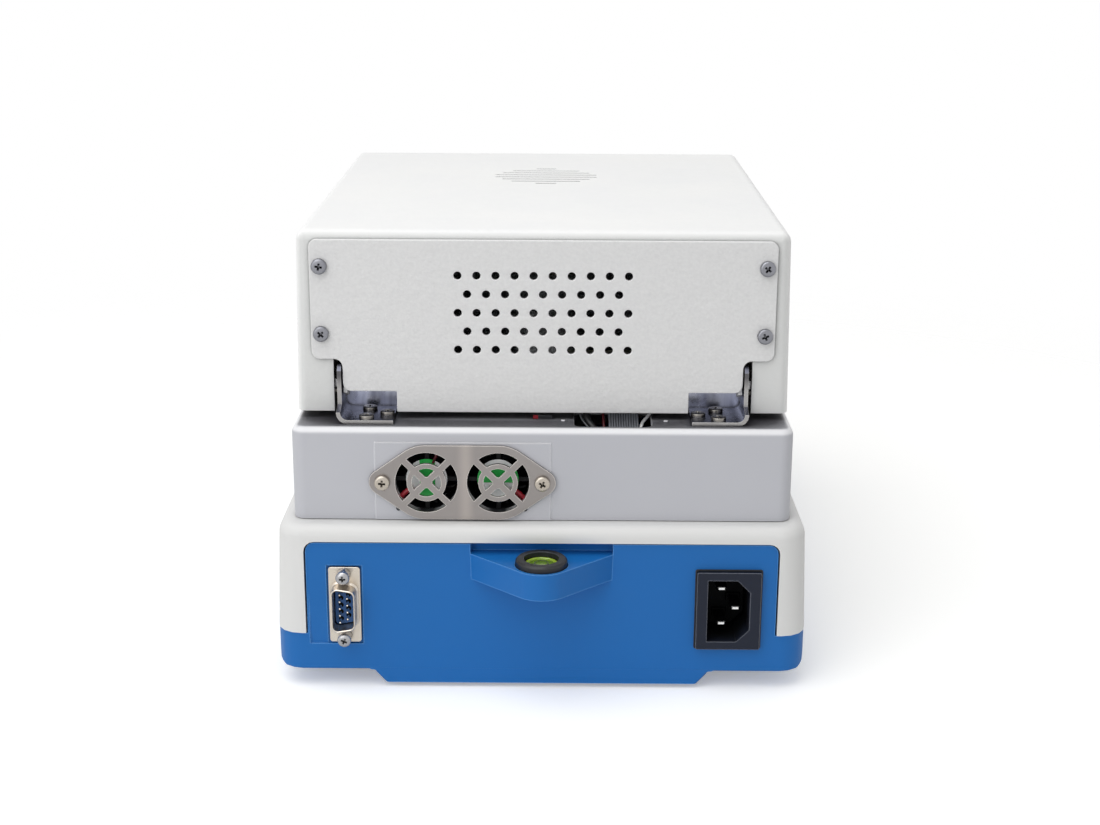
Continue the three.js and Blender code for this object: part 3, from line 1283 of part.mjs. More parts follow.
// Lid shell: open below, vent slots above, open behind for the rear plate
function lidShell() {
  const outer = moulded({
    xHalf: lidHalf,
    yMin: lidFrontY,
    yMax: lidRearY,
    zMin: lidZ,
    zMax: lidTopZ,
    corner: LID_CORNER,
    top: LID_EDGE,
    draft: LID_DRAFT,
  });
  const inner = moulded({
    xHalf: lidHalf - LID_WALL,
    yMin: lidFrontY + LID_WALL,
    yMax: lidRearY - LID_WALL,
    zMin: lidZ - CUT_OVER,
    zMax: lidTopZ - LID_WALL,
    corner: LID_CORNER - LID_WALL,
    top: LID_EDGE - LID_WALL,
    draft: LID_DRAFT,
  });
  const notchShape = roundedShape(
    -notchHalf, notchHalf,
    lidZ - LID_NOTCH_TOP, lidZ + plateTopRise - LID_NOTCH_TOP,
    PLATE_CORNER,
  );
  const notch = slabY(notchShape, lidRearY - LID_WALL - CUT_OVER, lidRearY + CUT_OVER);
  return cut(outer, inner, notch, ...ventSlots());
}

function ventSlots() {
  const slots = [];
  slotShares.forEach((share, i) => {
    const y = chamberY + (i - (slotShares.length - 1) / 2) * SLOT_PITCH;
    const half = SLOT_SPAN * share / 2;
    const shape = roundedShape(-half, half, y - SLOT_WIDTH / 2, y + SLOT_WIDTH / 2, SLOT_WIDTH / 2);
    slots.push(slabZ(shape, lidTopZ - LID_WALL - CUT_OVER, lidTopZ + CUT_OVER));
  });
  return slots;
}

// Rear plate: perforated sheet with two ears folded forward to the pivots
function rearPlate() {
  const points = [];
  const bend = (u, v, from, to) => {
    for (let i = 0; i <= ARC_STEPS; i += 1) {
      const angle = from + (to - from) * (i / ARC_STEPS);
      points.push([u + PLATE_CORNER * Math.cos(angle), lidZ + v + PLATE_CORNER * Math.sin(angle)]);
    }
  };
  const right = Math.PI / 2;
  points.push([plateLowHalf, lidZ + PLATE_LOW_Z]);
  points.push([plateLowHalf, lidZ + PLATE_MID_Z]);
  bend(plateMidHalf - PLATE_CORNER, PLATE_MID_Z + PLATE_CORNER, -right, 0);
  bend(plateMidHalf + PLATE_CORNER, PLATE_WIDE_Z - PLATE_CORNER, right * 2, right);
  bend(plateWideHalf - PLATE_CORNER, PLATE_WIDE_Z + PLATE_CORNER, -right, 0);
  bend(plateWideHalf - PLATE_CORNER, plateTopRise - PLATE_CORNER, 0, right);
  const mirrored = points.map(([x, z]) => [-x, z]).reverse();
  const shape = shapeOf([...points, ...mirrored]);
  plateRowCounts.forEach((count, row) => {
    for (let i = 0; i < count; i += 1) {
      const x = (i - (count - 1) / 2) * PLATE_HOLE_PITCH;
      const z = lidZ + plateHolesRise + row * PLATE_HOLE_PITCH;
      const ring = circlePoints(x, z, PLATE_HOLE_RADIUS, HOLE_STEPS);
      shape.holes.push(new THREE.Path(ring.map(([u, v]) => new THREE.Vector2(u, v))));
    }
  });
  const sheet = slabY(shape, lidRearY, plateY);
  const ears = [-1, 1].map((side) => plateEar(side));
  return join(sheet, ...ears);
}

function plateEar(side) {
  const outline = hullOf([
    ...circlePoints(hingeY, hingeZ, EAR_RADIUS, SMALL_STEPS),
    [lidRearY + SHARP * 2, hingeZ],
    [lidRearY + SHARP * 2, hingeZ + EAR_RADIUS],
  ]);
  const outerX = plateMidHalf;
  const xMin = Math.min(side * outerX, side * (outerX - EAR_THICK));
  const ear = slabX(shapeOf(outline), xMin, xMin + EAR_THICK);
  const hole = drumX(PIN_RADIUS + PIN_PLAY / 2, xMin - CUT_OVER, xMin + EAR_THICK + CUT_OVER, hingeY, hingeZ);
  return cut(ear, hole);
}

function pivotPin(side) {
  const headFrom = plateMidHalf - EAR_THICK - SEAT - PIN_HEAD_THICK;
  const headTo = plateMidHalf - EAR_THICK - SEAT;
  const nutFrom = bracketOuter + SEAT;
  const nutTo = nutFrom + NUT_THICK;
  const span = (radius, from, to, steps) => drumX(
    radius, Math.min(side * from, side * to), Math.max(side * from, side * to), hingeY, hingeZ, steps,
  );
  return join(
    span(PIN_HEAD_RADIUS, headFrom, headTo, SMALL_STEPS),
    span(PIN_RADIUS, headTo - SHARP, nutTo + SEAT, SMALL_STEPS),
    span(NUT_RADIUS, nutFrom, nutTo, 6),
  );
}

// Hinge bracket bolted to the tray: foot, side plate with the bore, stiffening flange
function hingeBracket(side) {
  const low = trayTopZ;
  const frontEdge = hingeY - BRACKET_FRONT;
  const outer = bracketOuter;
  const spanX = (a, b) => [Math.min(side * a, side * b), Math.max(side * a, side * b)];
  const [wallA, wallB] = spanX(outer - BRACKET_THICK, outer);
  const rearEdge = hingeY + BRACKET_FOOT_REAR;
  const shoulder = Math.acos(BRACKET_SIDE_REAR / BRACKET_ROUND);
  const crown = [];
  for (let i = 0; i <= ARC_STEPS * 2; i += 1) {
    const angle = shoulder + (Math.PI - shoulder * 2) * (i / (ARC_STEPS * 2));
    crown.push([hingeY + BRACKET_ROUND * Math.cos(angle), hingeZ + BRACKET_ROUND * Math.sin(angle)]);
  }
  const wallShape = shapeOf([
    [frontEdge, low + BRACKET_BEND],
    [rearEdge, low + BRACKET_BEND],
    [rearEdge, low + BRACKET_HEEL],
    [hingeY + BRACKET_SIDE_REAR, low + BRACKET_KNEE],
    ...crown,
  ]);
  const wall = slabX(wallShape, wallA, wallB);
  const bendProfile = [];
  for (let i = 0; i <= ARC_STEPS; i += 1) {
    const angle = -Math.PI / 2 + (i / ARC_STEPS) * (Math.PI / 2);
    const reach = BRACKET_BEND;
    bendProfile.push([outer - reach + reach * Math.cos(angle), low + reach + reach * Math.sin(angle)]);
  }
  for (let i = ARC_STEPS; i >= 0; i -= 1) {
    const angle = -Math.PI / 2 + (i / ARC_STEPS) * (Math.PI / 2);
    const reach = BRACKET_BEND - BRACKET_THICK;
    const centre = outer - BRACKET_BEND;
    bendProfile.push([centre + reach * Math.cos(angle), low + BRACKET_BEND + reach * Math.sin(angle)]);
  }
  const bendPoints = bendProfile.map(([x, z]) => [side * x, z]);
  const bendShape = shapeOf(side > 0 ? bendPoints : bendPoints.reverse());
  const bend = slabY(bendShape, frontEdge, rearEdge);
  const flangePoints = [
    [bracketInner, low + BRACKET_THICK / 2],
    [outer - BRACKET_BEND, low + BRACKET_THICK / 2],
    [outer, low + BRACKET_BEND],
    [outer, low + BRACKET_FLANGE_RISE],
    [bracketInner, low + BRACKET_FLANGE_RISE],
  ].map(([x, z]) => [side * x, z]);
  const flangeShape = shapeOf(side > 0 ? flangePoints : flangePoints.reverse());
  const flange = slabY(flangeShape, frontEdge, frontEdge + BRACKET_THICK);
  const bore = drumX(
    PIN_RADIUS + PIN_PLAY,
    Math.min(side * outer, side * (outer - BRACKET_THICK)) - CUT_OVER,
    Math.max(side * outer, side * (outer - BRACKET_THICK)) + CUT_OVER,
    hingeY, hingeZ,
  );
  const [footA, footB] = spanX(bracketInner, outer - BRACKET_BEND + SHARP);
  const foot = block(footA, footB, frontEdge, rearEdge, low, low + BRACKET_THICK);
  return cut(join(foot, bend, wall, flange), bore);
}

// Heater parts in the lid
function lidLiner() {
  const side = lidHalf - LID_WALL - SEAT - LID_DRAFT * (LINER_RISE + LINER_THICK) / LID_HEIGHT;
  const sheet = moulded({
    xHalf: side,
    yMin: lidFrontY + LID_WALL + SEAT,
    yMax: linerRearY,
    zMin: linerZ,
    zMax: linerTopZ,
    corner: LID_CORNER - LID_WALL,
  });
  const opening = drumZ(wellRadius - LINER_LIP, linerZ - CUT_OVER, linerTopZ + CUT_OVER, 0, chamberY);
  return cut(sheet, opening);
}

function reflector() {
  const dish = turned([
    [reflectorRadius, reflectorZ],
    [reflectorFlange, reflectorZ],
    [reflectorFlange, reflectorZ + REFLECTOR_WALL],
    [reflectorRadius + REFLECTOR_WALL, reflectorZ + REFLECTOR_WALL],
    [reflectorTop + REFLECTOR_WALL, reflectorTopZ],
    [0, reflectorTopZ],
    [0, reflectorTopZ - REFLECTOR_WALL],
    [reflectorTop, reflectorTopZ - REFLECTOR_WALL],
    [reflectorRadius, reflectorZ + GLASS_THICK + SEAT * 2],
    [reflectorRadius, reflectorZ],
  ], 0, chamberY);
  const legs = [-1, 1].map((side) => drumZ(
    LAMP_LEG + LAMP_LEG_PLAY, reflectorTopZ - REFLECTOR_WALL - CUT_OVER, reflectorTopZ + CUT_OVER,
    side * LAMP_LEG_OFFSET, lampLegY(), SMALL_STEPS,
  ));
  const probe = drumZ(
    PROBE_RADIUS + PROBE_PLAY, reflectorTopZ - REFLECTOR_WALL - CUT_OVER, reflectorTopZ + CUT_OVER,
    0, chamberY, SMALL_STEPS,
  );
  return cut(dish, ...legs, probe);
}

function lampLegY() {
  return chamberY + Math.sqrt(lampRadius * lampRadius - LAMP_LEG_OFFSET * LAMP_LEG_OFFSET);
}

function halogenLamp() {
  const ring = new THREE.TorusGeometry(lampRadius, LAMP_TUBE, HOLE_STEPS, ROUND_STEPS);
  ring.translate(0, chamberY, lampZ);
  const legs = [-1, 1].map((side) => drumZ(
    LAMP_LEG, lampZ, socketZ + SOCKET_HEIGHT / 2, side * LAMP_LEG_OFFSET, lampLegY(), HOLE_STEPS,
  ));
  return join(ring, ...legs);
}

function lampSocket() {
  const y = lampLegY();
  const body = block(
    -SOCKET_WIDTH / 2, SOCKET_WIDTH / 2, y - SOCKET_DEPTH / 2, y + SOCKET_DEPTH / 2, socketZ, socketZ + SOCKET_HEIGHT,
  );
  const bores = [-1, 1].map((side) => drumZ(
    LAMP_LEG + SEAT / 2, socketZ - CUT_OVER, socketZ + SOCKET_HEIGHT / 2 + SEAT,
    side * LAMP_LEG_OFFSET, y, HOLE_STEPS,
  ));
  return cut(body, ...bores);
}

function guardGlass() {
  const hole = PROBE_RADIUS + PROBE_PLAY;
  return ringZ(hole, glassRadius, glassZ, glassTopZ, 0, chamberY);
}

function temperatureProbe() {
  const tip = linerZ - PROBE_TIP_DROP;
  const rod = drumZ(PROBE_RADIUS, tip, reflectorTopZ + SEAT * 2, 0, chamberY, SMALL_STEPS);
  const head = drumZ(
    PROBE_HEAD, reflectorTopZ + SEAT, reflectorTopZ + SEAT + PROBE_HEAD_HEIGHT, 0, chamberY, SMALL_STEPS,
  );
  return join(rod, head);
}

function lidHandle() {
  const yFar = lidFrontY - HANDLE_REACH;
  const zMin = lidZ + HANDLE_RISE;
  const top = moulded({
    xHalf: HANDLE_HALF,
    yMin: yFar,
    yMax: lidFrontY + HANDLE_CORNER,
    zMin,
    zMax: zMin + HANDLE_THICK,
    corner: HANDLE_CORNER,
    bottom: HANDLE_EDGE,
    top: HANDLE_EDGE,
  });
  const room = block(
    -HANDLE_HALF - CUT_OVER, HANDLE_HALF + CUT_OVER,
    lidFrontY - SEAT, lidFrontY + HANDLE_CORNER + CUT_OVER,
    zMin - CUT_OVER, zMin + HANDLE_THICK + CUT_OVER,
  );
  const grip = block(
    -HANDLE_HALF + HANDLE_CORNER, HANDLE_HALF - HANDLE_CORNER,
    yFar + HANDLE_EDGE * 2, lidFrontY - HANDLE_EDGE * 2,
    zMin - CUT_OVER, zMin + HANDLE_THICK / 2,
  );
  return cut(top, room, grip);
}

function lidBumper(side) {
  const x = side * (trayHalf - BUMPER_SIDE);
  return drumZ(BUMPER_RADIUS, trayTopZ, linerZ - SEAT, x, trayFrontY + BUMPER_FRONT, SMALL_STEPS);
}

// Levelling foot: pad and threaded stem
function levelFoot(x, y) {
  const top = panZ - SEAT;
  const pad = turned([
    [0, 0],
    [FOOT_RADIUS - FOOT_EDGE, 0],
    [FOOT_RADIUS, FOOT_EDGE],
    [FOOT_RADIUS, top - FOOT_EDGE],
    [FOOT_RADIUS - FOOT_EDGE, top],
    [0, top],
  ], x, y, SMALL_STEPS);
  const stem = drumZ(FOOT_STEM, top - SHARP, top + FOOT_STEM_RISE, x, y, HOLE_STEPS);
  return join(pad, stem);
}

// Terminal blocks that the cables run between
const cableX = -(CABLE_OPEN_NEAR + CABLE_OPEN_FAR) / 2;
const lowTerminalY = trayRearY - TRAY_WALL - CABLE_OPEN_DEPTH / 2;
const highTerminalY = chamberY + reflectorFlange + TERMINAL_DEPTH * 2;

function terminalBlock(y, z) {
  return block(
    cableX - TERMINAL_WIDTH / 2, cableX + TERMINAL_WIDTH / 2,
    y - TERMINAL_DEPTH / 2, y + TERMINAL_DEPTH / 2,
    z, z + TERMINAL_HEIGHT,
  );
}

function cablePath(x, lift) {
  const low = deckZ + SEAT + TERMINAL_HEIGHT + SEAT;
  const out = trayRearY - TRAY_WALL - CABLE_SLACK;
  const lidSide = linerTopZ + lift;
  return new THREE.CatmullRomCurve3([
    new THREE.Vector3(x, lowTerminalY, low),
    new THREE.Vector3(x, lowTerminalY, (low + trayTopZ) / 2),
    new THREE.Vector3(x, out, trayTopZ - TRAY_WALL * 2),
    new THREE.Vector3(x, hingeY - CABLE_SLACK / 2, lidSide),
    new THREE.Vector3(x, linerRearY, lidSide + CABLE_SLACK / 4),
    new THREE.Vector3(x, highTerminalY + TERMINAL_DEPTH / 2 + SEAT, lidSide),
  ]);
}

function roundCable(x, core, lift) {
  const shape = shapeOf(circlePoints(0, 0, core, HOLE_STEPS));
  return new THREE.ExtrudeGeometry(shape, { steps: PATH_STEPS, extrudePath: cablePath(x, lift), bevelEnabled: false });
}

function ribbonCable() {
  const shape = shapeOf([
    [-RIBBON_WIDTH / 2, -RIBBON_THICK / 2],
    [RIBBON_WIDTH / 2, -RIBBON_THICK / 2],
    [RIBBON_WIDTH / 2, RIBBON_THICK / 2],
    [-RIBBON_WIDTH / 2, RIBBON_THICK / 2],
  ]);
  const extrudePath = cablePath(-RIBBON_LANE_X, RIBBON_THICK * 3);
  return new THREE.ExtrudeGeometry(shape, { steps: PATH_STEPS, extrudePath, bevelEnabled: false });
}

// Materials
function finish(color, roughness, metalness) {
  return new THREE.MeshStandardMaterial({ color, roughness, metalness });
}

const makers = {
  bluePlastic: () => finish("#2668ae", 0.45, 0),
  whitePlastic: () => finish("#e2e2dc", 0.5, 0),
  greyPlastic: () => finish("#bebfc4", 0.5, 0),
  blackPlastic: () => finish("#2a2c30", 0.5, 0),
  lidPlastic: () => finish("#e9e9ea", 0.55, 0),
  platePaint: () => finish("#e6e6e8", 0.5, 0.1),
  steel: () => finish("#a9a49f", 0.3, 1),
  aluminium: () => finish("#c9cbce", 0.35, 1),
  tin: () => finish("#b9b6ad", 0.35, 1),
  board: () => finish("#1f6b3a", 0.6, 0),
  glass: () => finish("#cfe3e6", 0.05, 0),
  screen: () => finish("#31424a", 0.2, 0),
  lime: () => finish("#b6d433", 0.15, 0),
  ceramic: () => finish("#e8e2d2", 0.7, 0),
  rubber: () => finish("#1c1c1d", 0.85, 0),
  lamp: () => finish("#f3e6c0", 0.05, 0),
  ribbon: () => finish("#9a9c9f", 0.6, 0),
  redWire: () => finish("#7a1420", 0.5, 0),
  greyKey: () => finish("#8d949c", 0.5, 0),
};

const root = new THREE.Group();
root.name = "moisture_analyzer";

function add(name, geometry, maker) {
  const mesh = new THREE.Mesh(geometry, makers[maker]());
  mesh.name = name;
  root.add(mesh);
}

// Base body
add("base_pan", basePan(), "bluePlastic");
add("top_housing", topHousing(), "whitePlastic");
add("chamber_tray", chamberTray(), "greyPlastic");
add("heat_shield", heatShield(), "steel");
add("draft_ring", draftRing(), "aluminium");
add("pan_support", panSupport(), "steel");
add("load_cell", loadCell(), "aluminium");
add("main_board", circuitBoard(1, boardWidth, MAIN_BOARD_DEPTH, CHIP_HEIGHT), "board");
add("power_board", circuitBoard(-1, boardWidth, POWER_BOARD_DEPTH, COIL_HEIGHT), "board");
add("console_board", consoleBoard(), "board");
add("display_module", displayModule(), "screen");
add("display_window", displayWindow(), "glass");
add("fan_grille", fanGrille(), "steel");
add("fan_housing_left", fanHousing(fanCentres[1]), "blackPlastic");
add("fan_housing_right", fanHousing(fanCentres[0]), "blackPlastic");
add("hinge_bracket_left", hingeBracket(-1), "steel");
add("hinge_bracket_right", hingeBracket(1), "steel");
add("power_inlet", powerInlet(), "blackPlastic");
add("inlet_contacts", inletContacts(), "tin");
add("serial_shell", serialShell(), "tin");
add("serial_insert", serialInsert(), "bluePlastic");
add("level_ring", levelRing(), "blackPlastic");
add("level_vial", levelVial(), "lime");
add("lid_bumper_left", lidBumper(-1), "rubber");
add("lid_bumper_right", lidBumper(1), "rubber");
add("base_terminal", terminalBlock(lowTerminalY, deckZ + SEAT), "ceramic");

// Lid body
add("lid_shell", lidShell(), "lidPlastic");
add("rear_plate", rearPlate(), "platePaint");
add("lid_liner", lidLiner(), "steel");
add("reflector", reflector(), "aluminium");
add("halogen_lamp", halogenLamp(), "lamp");
add("lamp_socket", lampSocket(), "ceramic");
add("guard_glass", guardGlass(), "glass");
add("temperature_probe", temperatureProbe(), "steel");
add("lid_handle", lidHandle(), "greyKey");
add("pivot_pin_left", pivotPin(-1), "steel");
add("pivot_pin_right", pivotPin(1), "steel");
add("lid_terminal", terminalBlock(highTerminalY, linerTopZ + SEAT), "ceramic");

// Turning and sliding pieces
add("fan_rotor_left", fanRotor(fanCentres[1]), "blackPlastic");
add("fan_rotor_right", fanRotor(fanCentres[0]), "blackPlastic");
keyCentres().forEach((u, i) => add(`console_key_${i + 1}`, consoleKey(u), "greyKey"));
add("pan_lifter", panLifter(), "steel");
add("sample_pan", samplePan(), "aluminium");
const footNames = ["foot_rear_right", "foot_rear_left", "foot_front_right", "foot_front_left"];
footPlaces().forEach(([x, y], i) => add(footNames[i], levelFoot(x, y), "rubber"));

// Cables that bend when the lid opens
add("lamp_cable", roundCable(-CABLE_LANE_X, CABLE_CORE, CABLE_CORE + SEAT), "rubber");
add("sensor_wire", roundCable(-WIRE_LANE_X, WIRE_CORE, CABLE_CORE), "redWire");
add("ribbon_cable", ribbonCable(), "ribbon");

export default root;
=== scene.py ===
import math

import bmesh
import bpy
from mathutils import Matrix, Vector


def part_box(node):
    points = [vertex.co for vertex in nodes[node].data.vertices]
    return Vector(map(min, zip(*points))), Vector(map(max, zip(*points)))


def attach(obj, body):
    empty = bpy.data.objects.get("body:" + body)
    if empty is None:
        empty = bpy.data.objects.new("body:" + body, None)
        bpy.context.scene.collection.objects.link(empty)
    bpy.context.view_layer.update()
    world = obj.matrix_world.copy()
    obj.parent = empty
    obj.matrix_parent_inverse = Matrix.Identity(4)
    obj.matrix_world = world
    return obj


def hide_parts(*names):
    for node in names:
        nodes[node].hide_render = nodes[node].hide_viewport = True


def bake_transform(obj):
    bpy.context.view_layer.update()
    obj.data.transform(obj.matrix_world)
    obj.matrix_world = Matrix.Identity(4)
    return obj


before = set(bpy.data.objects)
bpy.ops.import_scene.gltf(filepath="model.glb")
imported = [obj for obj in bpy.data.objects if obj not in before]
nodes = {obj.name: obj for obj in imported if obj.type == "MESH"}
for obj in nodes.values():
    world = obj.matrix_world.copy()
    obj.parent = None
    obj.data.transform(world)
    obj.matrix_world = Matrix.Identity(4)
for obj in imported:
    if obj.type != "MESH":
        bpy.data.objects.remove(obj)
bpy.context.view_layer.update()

finishes = {}

# Lengths are millimetres here, and turn into metres where a piece joins the frame
MM = 0.001
X = Vector((1, 0, 0))
Y = Vector((0, 1, 0))
Z = Vector((0, 0, 1))
WHITE = (1, 1, 1, 1)
SIDES = (("left", -1), ("right", 1))

# Camera, found from the vanishing lines of the photograph
LENS = 56.49
SENSOR = 36
NEAR_CLIP = 10
CAMERA_PLACE = Vector((-5.1, 751.3, 286.8))
CAMERA_YAW = math.radians(0.216)
CAMERA_PITCH = math.radians(16.4)
CAMERA_ROLL = math.radians(0.3)

# Light and floor. The sky brightens over one span of height and over one from side to side
SKY_STRENGTH = 0.64
GROUND_STRENGTH = 0.5
SKY_SPAN = (-0.3, 0.6)
DIM_SIDE = 0.8
LIT_SIDE = 1.12
SIDE_SPAN = (-0.8, 0.8)
KEY_POWER = 5.5
KEY_SIZE = 1100
KEY_PLACE = Vector((300, 420, 1100))
FILL_POWER = 1.7
FILL_SIZE = 800
FILL_PLACE = Vector((460, 900, 420))
AIM = Vector((0, 0, 80))
FLOOR_RADIUS = 640
FLOOR_FADE_FROM = 210
FLOOR_GLOW = 0.3

# Patterns: a noise keeps mostly to this span, and every mask is brought to it
SPAN_LOW = 0.3
SPAN_HIGH = 0.7
NOISE_ROUGH = 0.55
# How alike the plain and the rounded normal are where the edge tint, a painted highlight with some wear,
# starts and is full
EDGE_TINT_FROM = 0.99
EDGE_TINT_FULL = 0.88
METAL_SPREAD = 0.08

# Colour sockets of a Mix node
MIX_FROM = 6
MIX_TO = 7
MIX_RESULT = 2

# Mesh fineness
ROUND = 48
SMALL_ROUND = 24
TINY_ROUND = 16
ARC = 6
LOBE_ARC = 10
END_ARC = 12
EAR_ARC = 14
SLOT_ARCS = (9, 7)
SLEEVE_ARC = 8
RING_ARC = 20
DOT_ROUND = 20
WIRE_ROUND = 12
COIL_ROUND = 5
HEXAGON = 6
PATH = 10

# Edge rounding of moulded and cut parts
SOFT_EDGE = 0.5
FINE_EDGE = 0.2
SHEET_EDGE = 0.15
EDGE_STEPS = 3
WELD = 0.01
NORMAL_WEIGHT = 80
FLAT_ANGLE = math.radians(0.6)
EDGE_ANGLE = math.radians(32)
BLADE_ANGLE = math.radians(60)

# Screws: pan head, its cross recess, and how far each kind is turned so that no two crosses line up
HEAD_RADIUS = 2.9
HEAD_RISE = 2.0
HEAD_DOME = 0.3
JACK_DOME = 0.55
HEAD_FOOT_SHARE = 0.94
HEAD_SEAT_SHARE = 0.08
HEAD_SIDE_SHARE = 0.95
HEAD_TOP_SHARE = 1.02
RECESS_REACH = 1.35
RECESS_HALF = 0.4
RECESS_FLOOR_SHARES = (0.35, 0.7, 0.3)
RECESS_TOP_SHARE = 1.5
PLATE_TURN = 0.4
BRACKET_TURN = 0.7
GRILLE_TURN = 0.5
POST_TURN = 0.35
JACK_TURN = 0.6

# Rear plate: half widths and heights of its steps, its screws, its rows of holes and its folded ears
PLATE_MID_HALF = 74.7
PLATE_LOW_HALF = 54.6
PLATE_MID_RISE = 8.0
PLATE_WIDE_RISE = 20.35
PLATE_THICK = 1.5
PLATE_EDGE = 0.4
PLATE_CORNER = 3.1
FOLD_CORNER = 0.4
PLATE_SCREW_INSET = 3.8
PLATE_SCREW_DROPS = (10.0, 35.4)
HOLE_RADIUS = 1.5
HOLE_PITCH = 7.0
HOLE_RISE = 24.24
HOLE_ROWS = (10, 9, 10, 9, 10)
EAR_RADIUS = 5.4
EAR_BORE = 2.1
EAR_EDGE = 0.25
EAR_TAIL_SHARE = 0.55

# Hinge brackets: screws, where the cut edge starts along Y, and where the shade under the lid starts along Z
BRACKET_THICK = 1.5
BRACKET_SCREWS = ((65.7, 133.8), (65.5, 122.3), (58.4, 128.4))
BRACKET_HEAD = (2.75, 1.4, 0.2)
BRACKET_CUT = (119, 121)
BRACKET_SHADE = (113, 118)

# Fan plate, with the inner and outer radius of each ring of slots, and the painted gleam between the fans
LOBE_RADIUS = 14.5
END_RADIUS = 5.0
END_REACH = 29.8
GUARD_RINGS = ((7.4, 11.6), (2.2, 5.45))
GUARD_THICK = 1.2
SPOKE_HALF = 1.25
PAINTED_GLEAM_PLACE = 1.3
PAINTED_GLEAM_REACH = 4.0

# Rotors: sweep, width, taper and camber of a blade are radians, and its rise a share of the depth
BLADES = 7
BLADE_ROWS = 7
HUB_RADIUS = 7.4
HUB_ROUND = 0.5
HUB_CHAMFER = 0.8
ROTOR_DEPTH = 7.9
BLADE_ROOT = 0.3
BLADE_TIP = 10.9
BLADE_SHEET = 0.7
BLADE_SWEEP = 0.3
SWEEP_POWER = 1.5
BLADE_WIDTH = 0.78
BLADE_TAPER = 0.22
BLADE_CAMBER = 0.16
BLADE_RISE_SHARE = 0.86

# Hub labels: radius, thickness, how the edge of the green band blurs, and its axis, middle and half width
LABEL_RADIUS = 7.7
LABEL_THICK = 0.2
BAND_BLUR = 0.05
LABEL_BANDS = {"left": ("Y", 1.6, 3.0), "right": ("X", 0.3, 2.9)}

# Fan wires: radius, finish and route behind each guard, counted from the fan's middle
FAN_WIRES = {
    "left": (
        (1.0, "wire_red", ((5.2, -3.6, 0.5), (8.4, -5.8, 0.9), (9.9, -7.8, 0.8), (10.6, -9.6, 0.4))),
        (0.45, "cable_jacket", ((3.0, -3.7, 0.3), (5.2, -6.4, 0.9), (7.0, -8.6, 0.9), (9.6, -10.8, 0.5))),
    ),
    "right": (
        (1.0, "wire_red", ((-5.2, -3.4, 0.5), (-8.3, -5.4, 0.9), (-9.8, -7.4, 0.8), (-10.6, -9.4, 0.4))),
        (0.5, "wire_dark_red", ((2.4, 6.2, 0.4), (3.8, 9.4, 0.8), (5.2, 11.4, 0.4))),
    ),
}
FAN_WIRE_STEPS = 6

# Inlet: recess, gasket and contacts. A contact has a painted highlight from CONTACT_TIP before its end, where
# it narrows by (share of width, share of thickness, distance from the end)
RECESS_WIDTH = 15.2
RECESS_HEIGHT = 23.9
RECESS_CHAMFER = 4.8
RECESS_CORNER = 1.4
CHAMFER_CORNER = 0.6
CARRIER_THICK = 2.0
CARRIER_EDGE = 0.5
GASKET_REACH = 0.55
GASKET_BAND = 1.6
GASKET_THICK = 0.3
GASKET_EDGE = 0.08
GASKET_CORNERS = (0.8, 1.0)
INLET_PROUD = 2.4
CONTACT_LENGTH = 12.0
CONTACT_TIP = (0.6, 0.3)
CONTACT_SECTION = (4.0, 2.0, 0.25)
CONTACT_TAPER = ((0.66, 0.56, 0.4), (0.56, 0.4, 0.0))
CONTACT_SHOULDER = 1.3
CONTACT_PLACES = ((-2.3, 7.0), (-2.1, -7.0), (3.1, -0.8))
ROOT_SECTIONS = ((0.9, 0.6, 0.0), (0.5, 0.5, 0.8))

# Serial connector: the sleeve's wall is drawn by (inset, height) pairs from the flange up and back down
FLANGE_CORNER = 1.2
FLANGE_THICK = 1.2
FLANGE_EDGE = 0.3
SLEEVE_WIDTH = 9.0
SLEEVE_HEIGHT = 18.2
SLEEVE_LEAN = 1.4
SLEEVE_CORNER = 2.5
SLEEVE_WALL = 0.6
SLEEVE_FOOT = ((-0.9, -0.2), (-0.75, 0.35), (-0.1, 0.9), (0, 1.3))
SLEEVE_RIM = ((0, -0.25), (0.22, 0), (0.42, 0), (SLEEVE_WALL, -0.2))
SLEEVE_BACK = 0.3
PLUG_GAP = 0.15
PLUG_EDGE = 0.2
JACK_OFFSET = 12.45
JACK_BORE = 1.6
JACK_RADIUS = 2.6
JACK_HEAD = 1.8
POST_RADIUS = 2.54
POST_RISE = 4.2
POST_EDGE = 0.3
POST_SEAT = 0.1
PIN_RADIUS = 0.44
PIN_PITCH = 2.76
PIN_ROW = 1.42
PIN_LENGTH = 4.6
PIN_COUNTS = (5, 4)
PIN_TIP = ((1, 0.5), (0.75, 0.14), (0.35, 0))
# Profile of the dark collars that paint the shadow round each pin's foot
COLLAR = ((0.95, -0.2), (0.95, 0.1), (0.8, 0.25), (PIN_RADIUS, 0.25))

# Bubble level: (inset, drop) pairs from the vial's rim, and the bubble's (share of radius, height) pairs
CUP_RIM = ((0, 0.25), (0.25, 0), (0.75, 0), (1.0, 0.25), (1.2, 1.5))
CUP_FLOOR = 1.9
LIQUID_INSET = 1.02
LIQUID_FOOT = 0.15
LIQUID_DROPS = (1.85, 1.4, 0.55, 0.1)
LIQUID_DOME = 0.45
MARK_RING = ((2.35, 0.2), (2.6, 0.2), (2.6, 0.02), (2.35, 0.0), (2.35, 0.2))
BUBBLE_RADIUS = 1.9
BUBBLE_CROWN = ((1, -0.3), (1, 0.0), (0.92, 0.22), (0.7, 0.36), (0.4, 0.42))
BUBBLE_TOP = 0.44
BUBBLE_PLACE = (0.4, -2.0, -0.25)

# Route that all cables share, as the CAD draws it: up behind the tray, over its wall, to the lid's terminal
TERMINAL_GAP = 0.3
CABLE_LINE = 125.5
CABLE_TOP = 87.3
LID_LINE = 118.5
LID_TURN = 106.6
TURN_LIFT = 2.25
LIFT_LINE = 106.1
CABLE_BENDS = ((129.0, 95.0), (125.0, 101.3))
SLEEVE_BENDS = ((128.6, 96.0), (127.2, 99.2), (122.6, 103.8))

